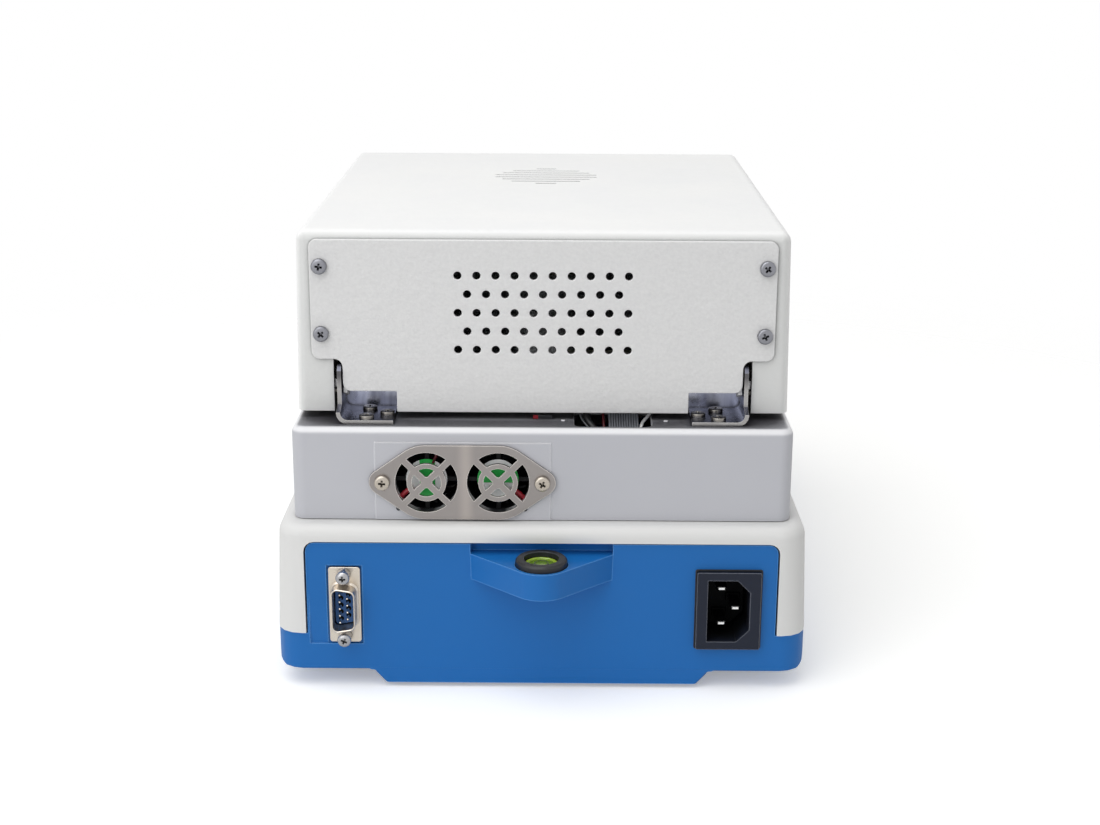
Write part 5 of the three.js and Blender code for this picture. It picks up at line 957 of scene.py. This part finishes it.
# Rear plate
def rear_plate_mesh(low, high):
    corners = [
        (PLATE_LOW_HALF, low.z, FOLD_CORNER), (PLATE_LOW_HALF, low.z + PLATE_MID_RISE, FOLD_CORNER),
        (PLATE_MID_HALF, low.z + PLATE_MID_RISE), (PLATE_MID_HALF, low.z + PLATE_WIDE_RISE),
        (high.x, low.z + PLATE_WIDE_RISE), (high.x, high.z),
    ]
    mirrored = [(-c[0], *c[1:]) for c in reversed(corners)]
    holes = [
        circle(
            (i - (count - 1) / 2) * HOLE_PITCH, low.z + HOLE_RISE + row * HOLE_PITCH, HOLE_RADIUS, DOT_ROUND,
        )
        for row, count in enumerate(HOLE_ROWS) for i in range(count)
    ]
    return sheet_mesh(rounded(corners + mirrored, PLATE_CORNER), holes, PLATE_THICK, PLATE_EDGE)


def ear_mesh(plate_front):
    """Lug folded forward round the pivot, in the (y, z) plane."""
    hinge = middle("pivot_pin_right")
    tail = [(plate_front, hinge.z - EAR_RADIUS * EAR_TAIL_SHARE), (plate_front, hinge.z + EAR_RADIUS)]
    outline = arc(hinge.y, hinge.z, EAR_RADIUS, 90, 270, EAR_ARC) + tail
    return sheet_mesh(outline, [circle(hinge.y, hinge.z, EAR_BORE)], PLATE_THICK, EAR_EDGE)


def add_rear_plate():
    low, high = box("rear_plate")
    front = high.y - PLATE_THICK
    sheet = rear_plate_mesh(low, high)
    piece("rear_sheet", sheet, "plate_paint", "lid", rearward(0, front, 0), ["rear_plate"])
    ear = ear_mesh(front)
    for name, side in SIDES:
        x = PLATE_MID_HALF - PLATE_THICK if side > 0 else -PLATE_MID_HALF
        piece("plate_ear_" + name, ear, "plate_paint", "lid", standing((x, 0, 0), X))


# Fan plate, fans and their wires
def guard_slot(u, v, inner, outer, turn):
    """One of four slots between two rings and two diagonal spokes."""
    spread = [45 - math.degrees(math.asin(SPOKE_HALF / r)) for r in (outer, inner)]
    return (
        arc(u, v, outer, turn - spread[0], turn + spread[0], SLOT_ARCS[0])
        + arc(u, v, inner, turn + spread[1], turn - spread[1], SLOT_ARCS[1])
    )


def grille_mesh(gap):
    """A sheet round both fans, its outline tangent to a lobe at each side's gap and a small end arc."""
    lean = math.degrees(math.acos((LOBE_RADIUS - END_RADIUS) / (END_REACH - gap)))
    outline = []
    for turn, side in ((0, 1), (180, -1)):
        outline += arc(side * gap, 0, LOBE_RADIUS, turn + lean, turn + 90, LOBE_ARC)
        outline += arc(-side * gap, 0, LOBE_RADIUS, turn + 90, turn + 180 - lean, LOBE_ARC)
        outline += arc(-side * END_REACH, 0, END_RADIUS, turn + 180 - lean, turn + 180 + lean, END_ARC)
    holes = [
        guard_slot(u, 0, inner, outer, 90 * k)
        for u in (-gap, gap) for k in range(4) for inner, outer in GUARD_RINGS
    ]
    return sheet_mesh(outline, holes, GUARD_THICK, SHEET_EDGE)


def blade_mesh(turn):
    """A cambered, twisted fan blade from inside the hub to the tip."""
    hub = HUB_RADIUS - BLADE_ROOT
    points = []
    for i in range(BLADE_ROWS):
        share = i / (BLADE_ROWS - 1)
        radius = hub + (BLADE_TIP - hub) * share
        for j in range(BLADE_ROWS):
            chord = j / (BLADE_ROWS - 1) - 0.5
            swept_back = BLADE_SWEEP * share ** SWEEP_POWER
            wide = (BLADE_WIDTH - BLADE_TAPER * share) * chord
            angle = turn + swept_back + wide + BLADE_CAMBER * (0.25 - chord * chord)
            rise = ROTOR_DEPTH * (0.5 + BLADE_RISE_SHARE * chord)
            points.append((radius * math.cos(angle), radius * math.sin(angle), rise))
    faces = [
        (k, k + 1, k + BLADE_ROWS + 1, k + BLADE_ROWS)
        for i in range(BLADE_ROWS - 1) for k in range(i * BLADE_ROWS, i * BLADE_ROWS + BLADE_ROWS - 1)
    ]
    blade = linked("blade", mesh_from(points, faces))
    settled(blade.modifiers.new("sheet", "SOLIDIFY"), thickness=BLADE_SHEET, offset=0)
    return smooth_by_angle(baked(blade), BLADE_ANGLE)


def rotor_mesh():
    """Hub with a rounded rim and its blades, from 0 to the rotor's depth."""
    cap = turned([
        (0, 0), (HUB_RADIUS - HUB_ROUND, 0), (HUB_RADIUS, HUB_ROUND), (HUB_RADIUS, ROTOR_DEPTH - HUB_CHAMFER),
        (HUB_RADIUS - HUB_CHAMFER, ROTOR_DEPTH), (0, ROTOR_DEPTH),
    ])
    return merged([cap] + [blade_mesh(2 * math.pi * k / BLADES) for k in range(BLADES)])


def add_fans():
    low, centre = box("fan_grille")[0], middle("fan_grille")
    gap = (middle("fan_rotor_right").x - middle("fan_rotor_left").x) / 2
    place = rearward(centre.x, low.y, centre.z)
    piece("guard_plate", grille_mesh(gap), "guard_steel", "base", place, ["fan_grille"])
    label = turned([(0, 0), (LABEL_RADIUS, 0), (LABEL_RADIUS, LABEL_THICK), (0, LABEL_THICK)])
    for side, wires in FAN_WIRES.items():
        node = "fan_rotor_" + side
        x = middle(node).x
        place = rearward(x, box(node)[0].y, centre.z)
        piece("blades_" + side, rotor_mesh(), "fan_black", node, place, [node])
        seat = rearward(x, box("fan_housing_" + side)[1].y, centre.z)
        piece("hub_label_" + side, label, "label_" + side, "base", seat)
        for k, (radius, finish, route) in enumerate(wires):
            path = smooth_path([Vector(point) for point in route], FAN_WIRE_STEPS)
            wire = swept(path, circle(0, 0, radius, WIRE_ROUND), Z)
            piece(f"fan_wire_{side}_{k + 1}", wire, finish, "base", seat)


# Inlet contacts
def recess_outline(inset):
    u = RECESS_WIDTH / 2 - inset
    v = RECESS_HEIGHT / 2 - inset
    cut = RECESS_CHAMFER
    chamfers = [(u - cut, -v), (u, -v + cut), (u, v - cut), (u - cut, v)]
    return rounded([(-u, -v, RECESS_CORNER), *chamfers, (-u, v, RECESS_CORNER)], CHAMFER_CORNER)


def add_inlet():
    low, high = box("inlet_contacts")
    centre = middle("power_inlet")
    carrier = lofted([
        (recess_outline(0), 0), (recess_outline(0), CARRIER_THICK - CARRIER_EDGE),
        (recess_outline(CARRIER_EDGE), CARRIER_THICK),
    ])
    place = rearward(centre.x, low.y, centre.z)
    piece("inlet_carrier", carrier, "inlet_deep", "base", place, ["inlet_contacts"])
    length = high.y - low.y - CARRIER_THICK
    wide, thick, corner = CONTACT_SECTION
    full = box_outline(wide / 2, thick / 2, corner)
    tip = [([(u * by_u, v * by_v) for u, v in full], length - back) for by_u, by_v, back in CONTACT_TAPER]
    contact = lofted([(full, 0), (full, length - CONTACT_SHOULDER), *tip])
    root = lofted([
        (box_outline(wide / 2 + out, thick / 2 + out, bend), rise) for out, bend, rise in ROOT_SECTIONS
    ])
    for k, (u, v) in enumerate(CONTACT_PLACES):
        place = rearward(centre.x - u, low.y + CARRIER_THICK, centre.z + v)
        piece(f"inlet_blade_{k + 1}", contact, "contact_tin", "base", place)
        piece(f"inlet_root_{k + 1}", root, "inlet_deep", "base", place)
    half = half_size("power_inlet")
    outline, hole = [
        box_outline(half.x + GASKET_REACH - inset, half.z + GASKET_REACH - inset, corner)
        for inset, corner in zip((0, GASKET_BAND), GASKET_CORNERS)
    ]
    gasket = sheet_mesh(outline, [hole], GASKET_THICK, GASKET_EDGE)
    front = box("power_inlet")[1].y - INLET_PROUD
    piece("inlet_gasket", gasket, "rubber", "base", rearward(centre.x, front, centre.z))


# Serial connector
def sleeve_outline(inset):
    u = SLEEVE_WIDTH / 2 - inset
    v = SLEEVE_HEIGHT / 2 - inset
    corners = [(-u, -v), (u, -v + SLEEVE_LEAN), (u, v - SLEEVE_LEAN), (-u, v)]
    return rounded(corners, SLEEVE_CORNER - inset, SLEEVE_ARC)


def add_serial():
    low, high = box("serial_shell")
    centre = middle("serial_shell")
    half = half_size("serial_shell")
    back = box("serial_insert")[0].y
    seat = rearward(centre.x, low.y, centre.z)
    front = rearward(centre.x, low.y + FLANGE_THICK, centre.z)
    core_seat = rearward(centre.x, back, centre.z)
    bores = [circle(0, side * JACK_OFFSET, JACK_BORE) for name, side in SIDES]
    flange = box_outline(half.x, half.z, FLANGE_CORNER)
    plate = sheet_mesh(flange, [sleeve_outline(SLEEVE_WALL)] + bores, FLANGE_THICK, FLANGE_EDGE)
    piece("serial_flange", plate, "tin", "base", seat, ["serial_shell"])
    wall = [(inset, FLANGE_THICK + z) for inset, z in SLEEVE_FOOT]
    wall += [(inset, high.y - low.y + z) for inset, z in SLEEVE_RIM] + [(SLEEVE_WALL, SLEEVE_BACK)]
    sleeve = lofted([(sleeve_outline(inset), z) for inset, z in wall], closed=True)
    piece("serial_sleeve", sleeve, "tin", "base", seat)
    plug_top = low.y + FLANGE_THICK - back
    snug = SLEEVE_WALL + PLUG_GAP
    plug = lofted([
        (sleeve_outline(snug), 0), (sleeve_outline(snug), plug_top - PLUG_EDGE),
        (sleeve_outline(snug + PLUG_EDGE), plug_top),
    ])
    pin = turned([(0, 0), (PIN_RADIUS, 0), *(
        (PIN_RADIUS * share, PIN_LENGTH - drop) for share, drop in PIN_TIP
    ), (0, PIN_LENGTH)], TINY_ROUND)
    collar = turned([(0, COLLAR[0][1]), *COLLAR, (0, COLLAR[-1][1])], TINY_ROUND)
    spots = [
        Vector(((2 * row - 1) * PIN_ROW, (i - (count - 1) / 2) * PIN_PITCH, 0))
        for row, count in enumerate(PIN_COUNTS) for i in range(count)
    ]
    pins = merged([moved(pin.copy(), spot) for spot in spots])
    collars = merged([moved(collar.copy(), spot + Z * plug_top) for spot in spots])
    piece("serial_core", plug, "insert_blue", "base", core_seat, ["serial_insert"])
    # Dark collars round the pins' feet: a painted shadow between the pins
    piece("serial_pin_shade", collars, "inlet_deep", "base", core_seat)
    piece("serial_pins", pins, "pin_bright", "base", front)
    head = screw_mesh(JACK_RADIUS, JACK_HEAD, JACK_DOME)
    post = turned([
        (0, -POST_SEAT), (POST_RADIUS, -POST_SEAT), (POST_RADIUS, POST_RISE - POST_EDGE),
        (POST_RADIUS - POST_EDGE, POST_RISE), (0, POST_RISE),
    ], HEXAGON)
    for name, side in (("lower", -1), ("upper", 1)):
        place = front @ Matrix.Translation((0, side * JACK_OFFSET * MM, 0))
        piece("jack_post_" + name, post, "screw_steel", "base", spun(place, POST_TURN))
        place = place @ Matrix.Translation((0, 0, POST_RISE * MM))
        piece("jack_screw_" + name, head, "screw_steel", "base", spun(place, JACK_TURN + side))


# Bubble level
def add_level():
    low, high = box("level_vial")
    rise = high.z - low.z
    radius = half_size("level_vial").x
    centre = middle("level_vial")
    place = standing((centre.x, centre.y, low.z), Z, -Y)
    rim = [(radius - inset, rise - drop) for inset, drop in CUP_RIM]
    cup = turned([(0, 0), (radius, 0), *rim, (0, rise - CUP_FLOOR)])
    piece("vial_cup", cup, "lime", "base", place, ["level_vial"])
    inner = radius - LIQUID_INSET
    floor, side, line, top = [rise - drop for drop in LIQUID_DROPS]
    angles = [math.radians(a) for a in range(0, 90, 15)]
    dome = [(inner * math.cos(a), line + LIQUID_DOME * math.sin(a)) for a in angles]
    liquid = turned([(0, floor), (inner - LIQUID_FOOT, side), *dome, (0, top)])
    piece("vial_liquid", liquid, "lime_liquid", "base", place)
    ring = turned([(reach, rise - drop) for reach, drop in MARK_RING])
    piece("vial_mark", ring, "black_plastic", "base", place)
    crown = [(BUBBLE_RADIUS * share, z) for share, z in BUBBLE_CROWN]
    bubble = turned([(0, crown[0][1]), *crown, (0, BUBBLE_TOP)])
    spot = Matrix.Translation((Vector(BUBBLE_PLACE) + Z * rise) * MM)
    piece("vial_bubble", bubble, "bubble", "base", place @ spot)


# Cables from the tray to the lid
def ribbon_section():
    """A flat cable: round conductors side by side."""
    pitch = 2 * RIBBON_HALF / RIBBON_RIDGES
    lanes = [-RIBBON_HALF + pitch * (i + 0.5) for i in range(RIBBON_RIDGES)]
    top = [point for u in lanes for point in arc(u, RIDGE_LIFT, pitch * RIDGE_SHARE, *RIDGE_ARC)]
    return top[::-1] + [(u, -v) for u, v in top]


def add_cables():
    """Each follows the CAD cables' route, and bends where the lid turns."""
    for name, (finish, size, lane, lift, swing, bends, stands_for) in CABLES.items():
        section = circle(0, 0, *size) if size else ribbon_section()
        lid_height = LIFT_LINE + lift
        top = Vector((lane, CABLE_LINE, CABLE_TOP))
        bent = [Vector((lane + aside, *bend)) for aside, bend in zip(swing, (*bends, (LID_LINE, lid_height)))]
        path = [
            Vector((lane, CABLE_LINE, box("base_terminal")[1].z + TERMINAL_GAP)), top, *bent,
            Vector((lane, LID_TURN, lid_height + TURN_LIFT)),
            Vector((lane, box("lid_terminal")[1].y + TERMINAL_GAP, lid_height)),
        ]
        made = piece(name, swept(smooth_path(path), section), finish, None, Matrix(), stands_for)
        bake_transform(made)


# Small things on the tray
def add_tray_trim():
    tray = box("chamber_tray")[1]
    dimple = turned(DIMPLE, TINY_ROUND)
    for k, x in enumerate(DIMPLE_PLACES):
        piece(f"tray_pin_{k + 1}", dimple, "black_plastic", "base", rearward(x, tray.y, DIMPLE_RISE))
    pip = turned(PIP, DOT_ROUND)
    for k, x in enumerate(PIP_PLACES):
        piece(f"tray_pip_{k + 1}", pip, "grey_plastic", "base", standing((x, PIP_LINE, tray.z), Z, Y))
    side = rounded(SWITCH_SIDE, SWITCH_EDGE)
    case = sheet_mesh(side, [], SWITCH_HALF * 2, SWITCH_EDGE)
    piece("lid_switch", case, "black_plastic", "base", standing((-SWITCH_HALF, 0, tray.z), X))
    spot = Vector(LEVER_PLACE) + Z * tray.z
    lever = sheet_mesh(side, [], LEVER_WIDTH, SWITCH_EDGE)
    piece("switch_lever", lever, "wire_red", "base", standing(spot, X))


# Console marks: generic shapes only
def mark_outlines():
    """Power, up, down, stop, two bars and start."""
    first, last = POWER_SPAN
    outside, inside = POWER_RADII
    ring = arc(0, 0, outside, first, last, RING_ARC) + arc(0, 0, inside, last, first, RING_ARC)
    return [
        [ring, box_outline(*POWER_BAR)],
        [rounded(UP_MARK, MARK_CORNER)],
        [rounded(DOWN_MARK, MARK_CORNER)],
        [box_outline(STOP_HALF, STOP_HALF, MARK_CORNER)],
        [box_outline(*PAUSE_BAR, rise) for rise in PAUSE_RISES],
        [rounded(START_MARK, MARK_CORNER)],
    ]


def add_marks():
    for k, outlines in enumerate(mark_outlines()):
        node = f"console_key_{k + 1}"
        spot = CONSOLE_ORIGIN + X * middle(node).x + CONSOLE_UP * KEY_LINE + CONSOLE_OUT * KEY_RISE
        mark = merged([sheet_mesh(outline, [], MARK_THICK, MARK_EDGE) for outline in outlines])
        piece(f"key_mark_{k + 1}", mark, "print_white", node, standing(spot, CONSOLE_OUT, CONSOLE_UP))


# Lamp and pan
def add_filament():
    """A coil inside the ring lamp."""
    radius = half_size("halogen_lamp").x - TUBE_INSET
    ring_z = box("halogen_lamp")[0].z + TUBE_INSET
    points = []
    steps = FILAMENT_TURNS * FILAMENT_STEPS
    for i in range(steps):
        around = math.radians(FILAMENT_FROM + FILAMENT_SWEEP * i / steps)
        coil = 2 * math.pi * i / FILAMENT_STEPS
        out = radius + FILAMENT_COIL * math.cos(coil)
        points.append(Vector((
            middle("halogen_lamp").x + out * math.sin(around), CHAMBER_Y - out * math.cos(around),
            ring_z + FILAMENT_COIL * math.sin(coil),
        )))
    piece("lamp_filament", swept(points, circle(0, 0, FILAMENT_RADIUS, COIL_ROUND), Z), "filament", "lid")


def add_pan():
    """A dish of sheet with a rolled lip and a bead pressed round its floor."""
    low, high = box("sample_pan")
    centre = middle("sample_pan")
    rim = half_size("sample_pan").x
    tall = high.z - low.z
    inner = rim - PAN_RIM
    wall = PAN_WALL
    angles = [math.radians(a) for a in LIP_ANGLES]
    lip = [(rim + PAN_LIP * (math.cos(a) - 1), tall + PAN_LIP * (math.sin(a) - 1)) for a in angles]
    bead = [(r, wall + BEAD_HEIGHT * math.sin(math.pi * (r - BEAD_RADII[-1]) / 2)) for r in BEAD_RADII]
    profile = [(0, 0)] + [(inner - inset, z) for inset, z in PAN_OUTSIDE]
    profile += [(inner, tall - wall - PAN_BEND), (inner + PAN_BEND, tall - wall), *lip]
    profile += [(inner - LIP_INSET, tall), (inner - wall, tall - PAN_BEND)]
    profile += [(inner - inset, z) for inset, z in PAN_INSIDE] + bead + [(0, wall)]
    place = standing((centre.x, centre.y, low.z), Z, Y)
    piece("weighing_pan", turned(profile, 2 * ROUND), "aluminium", "sample_pan", place, ["sample_pan"])


# Modifiers that finish a carried-over part without touching its mesh
def geometry_group(name, build):
    group = bpy.data.node_groups.new(name, "GeometryNodeTree")
    for in_out in ("INPUT", "OUTPUT"):
        group.interface.new_socket("Geometry", in_out=in_out, socket_type="NodeSocketGeometry")
    add_node(group, "NodeGroupOutput", {0: build(group, add_node(group, "NodeGroupInput")[0])})
    return group


def weld(group, geometry):
    """Drops the imported normals and joins vertices that lie together."""
    bare = add_node(group, "GeometryNodeRemoveAttribute", {"Geometry": geometry, "Name": "custom_normal"})
    inputs = {"Geometry": bare["Geometry"], "Distance": WELD * MM}
    return add_node(group, "GeometryNodeMergeByDistance", inputs)["Geometry"]


def smooth(group, geometry):
    """Shades faces smooth and keeps edges sharp where they turn more than the edge angle."""
    angle = add_node(group, "GeometryNodeInputMeshEdgeAngle")["Unsigned Angle"]
    sharp = add_node(group, "FunctionNodeCompare", {0: angle, 1: EDGE_ANGLE}, operation="GREATER_THAN")
    faces = add_node(group, "GeometryNodeSetShadeSmooth", {"Geometry": geometry})
    inputs = {"Geometry": faces["Geometry"], "Selection": sharp["Result"], "Shade Smooth": False}
    return add_node(group, "GeometryNodeSetShadeSmooth", inputs, domain="EDGE")["Geometry"]


weld_nodes = geometry_group("weld", weld)
smooth_nodes = geometry_group("smooth", smooth)


def dress(part, finish, edge):
    """Gives a carried-over part its finish, rounded edges and clean shading."""
    paint(part, finish)
    add = part.modifiers.new
    settled(add("weld", "NODES"), node_group=weld_nodes)
    settled(add("flat", "DECIMATE"), decimate_type="DISSOLVE", angle_limit=FLAT_ANGLE)
    if edge > 0:
        settled(
            add("bevel", "BEVEL"), width=edge * MM, segments=EDGE_STEPS, limit_method="ANGLE",
            angle_limit=EDGE_ANGLE, use_clamp_overlap=True,
        )
    settled(add("smooth", "NODES"), node_group=smooth_nodes)
    weigh_normals(part)


# Camera, light and floor
def make_camera():
    level = math.cos(CAMERA_PITCH)
    forward = Vector((
        math.sin(CAMERA_YAW) * level, -math.cos(CAMERA_YAW) * level, -math.sin(CAMERA_PITCH),
    ))
    level_right = forward.cross(Z).normalized()
    level_up = level_right.cross(forward)
    right = level_right * math.cos(CAMERA_ROLL) + level_up * math.sin(CAMERA_ROLL)
    up = right.cross(forward)
    data = bpy.data.cameras.new("camera")
    camera = linked("camera", settled(data, lens=LENS, sensor_width=SENSOR, clip_start=NEAR_CLIP * MM))
    turn = Matrix((right, up, -forward)).transposed().to_4x4()
    camera.matrix_world = Matrix.Translation(CAMERA_PLACE * MM) @ turn
    bpy.context.scene.camera = camera


def make_lamp(name, place, size, power):
    data = settled(bpy.data.lights.new(name, "AREA"), shape="DISK", size=size * MM, energy=power)
    linked(name, data).matrix_world = standing(place, place - AIM, Y)


def make_world():
    """Soft light, brighter above and on one side, and plain white where the camera or a gloss looks past."""
    world = bpy.data.worlds.new("studio")
    bpy.context.scene.world = world
    world.use_nodes = True
    tree = world.node_tree

    def add(kind, inputs=None, **settings):
        return add_node(tree, "ShaderNode" + kind, inputs, **settings)

    parts = add("SeparateXYZ", {"Vector": add("TexCoord")["Generated"]})
    rise = ranged(tree, parts["Z"], GROUND_STRENGTH, SKY_STRENGTH, *SKY_SPAN)
    sideways = ranged(tree, parts["X"], DIM_SIDE, LIT_SIDE, *SIDE_SPAN)
    strength = add("Math", {0: rise, 1: sideways}, operation="MULTIPLY")[0]
    sky = add("Background", {"Color": WHITE, "Strength": strength})["Background"]
    white = add("Background", {"Color": WHITE, "Strength": 1.0})["Background"]
    rays = add("LightPath")
    seen = rays["Is Camera Ray"]
    for ray in ("Is Glossy Ray", "Is Transmission Ray"):
        seen = add("Math", {0: seen, 1: rays[ray]}, operation="MAXIMUM")[0]
    mix = add("MixShader", {"Fac": seen, 1: sky, 2: white})["Shader"]
    tree.links.new(mix, tree.nodes["World Output"].inputs["Surface"])


def make_floor():
    """A pale disc that keeps the shadow and fades out into the white."""
    start = FLOOR_FADE_FROM * MM
    end = FLOOR_RADIUS * MM
    floor = linked("floor", turned([(0, 0), (start, 0), (end, 0)]))
    look = Finish("floor", "#f4f4f2", 0.8, Emission_Color=WHITE).clouds(400, "#efefee", 0.5, 2.0)
    glow = look.calc("MULTIPLY", look.add("LightPath")["Is Camera Ray"], FLOOR_GLOW)
    look.link(glow, "Emission Strength")
    place = look.add("TexCoord")["Object"]
    away = look.add("VectorMath", {0: place}, operation="LENGTH")["Value"]
    look.link(ranged(look.tree, away, 1.0, 0.0, start, end, interpolation_type="SMOOTHSTEP"), "Alpha")
    floor.data.materials.append(look.material)


bpy.context.scene.view_settings.view_transform = "Standard"
make_camera()
make_world()
make_lamp("key_light", KEY_PLACE, KEY_SIZE, KEY_POWER)
make_lamp("fill_light", FILL_PLACE, FILL_SIZE, FILL_POWER)
make_floor()
make_plastics()
make_lid_white()
make_plate_paint()
make_metals()
make_guard_steel()
make_bracket_steel()
make_contact_tin()
for side, band in LABEL_BANDS.items():
    make_label("label_" + side, *band)
make_clear_things()
make_small_finishes()

# Carried-over parts: finish, edge rounding, and how the names of the parts start
for finish, edge, starts in (
    ("blue_plastic", SOFT_EDGE, "base_pan"),
    ("white_plastic", SOFT_EDGE, "top_housing"),
    ("grey_plastic", SOFT_EDGE, "chamber_tray"),
    ("lid_white", SOFT_EDGE, "lid_shell"),
    ("aluminium", SOFT_EDGE, "load_cell"),
    ("aluminium", FINE_EDGE, "draft_ring reflector"),
    ("key_grey", SOFT_EDGE, "lid_handle"),
    ("key_grey", FINE_EDGE, "console_key"),
    ("rubber", SOFT_EDGE, "foot_"),
    ("rubber", FINE_EDGE, "lid_bumper"),
    ("steel", FINE_EDGE, "heat_shield pan_support lid_liner temperature_probe pan_lifter"),
    ("bracket_steel", FINE_EDGE, "hinge_bracket"),
    ("screw_steel", FINE_EDGE, "pivot_pin"),
    ("board", FINE_EDGE, "main_board power_board console_board"),
    ("screen", FINE_EDGE, "display_module"),
    ("clear_glass", FINE_EDGE, "display_window guard_glass"),
    ("lamp_glass", 0, "halogen_lamp"),
    ("ceramic", FINE_EDGE, "base_terminal lid_terminal lamp_socket"),
    ("fan_black", FINE_EDGE, "fan_housing"),
    ("inlet_black", FINE_EDGE, "power_inlet"),
    ("black_plastic", FINE_EDGE, "level_ring"),
):
    for name in sorted(nodes):
        if name.startswith(tuple(starts.split())):
            dress(nodes[name], finish, edge)

add_rear_plate()
add_fans()
add_screws()
add_inlet()
add_serial()
add_level()
add_cables()
add_tray_trim()
add_marks()
add_filament()
add_pan()
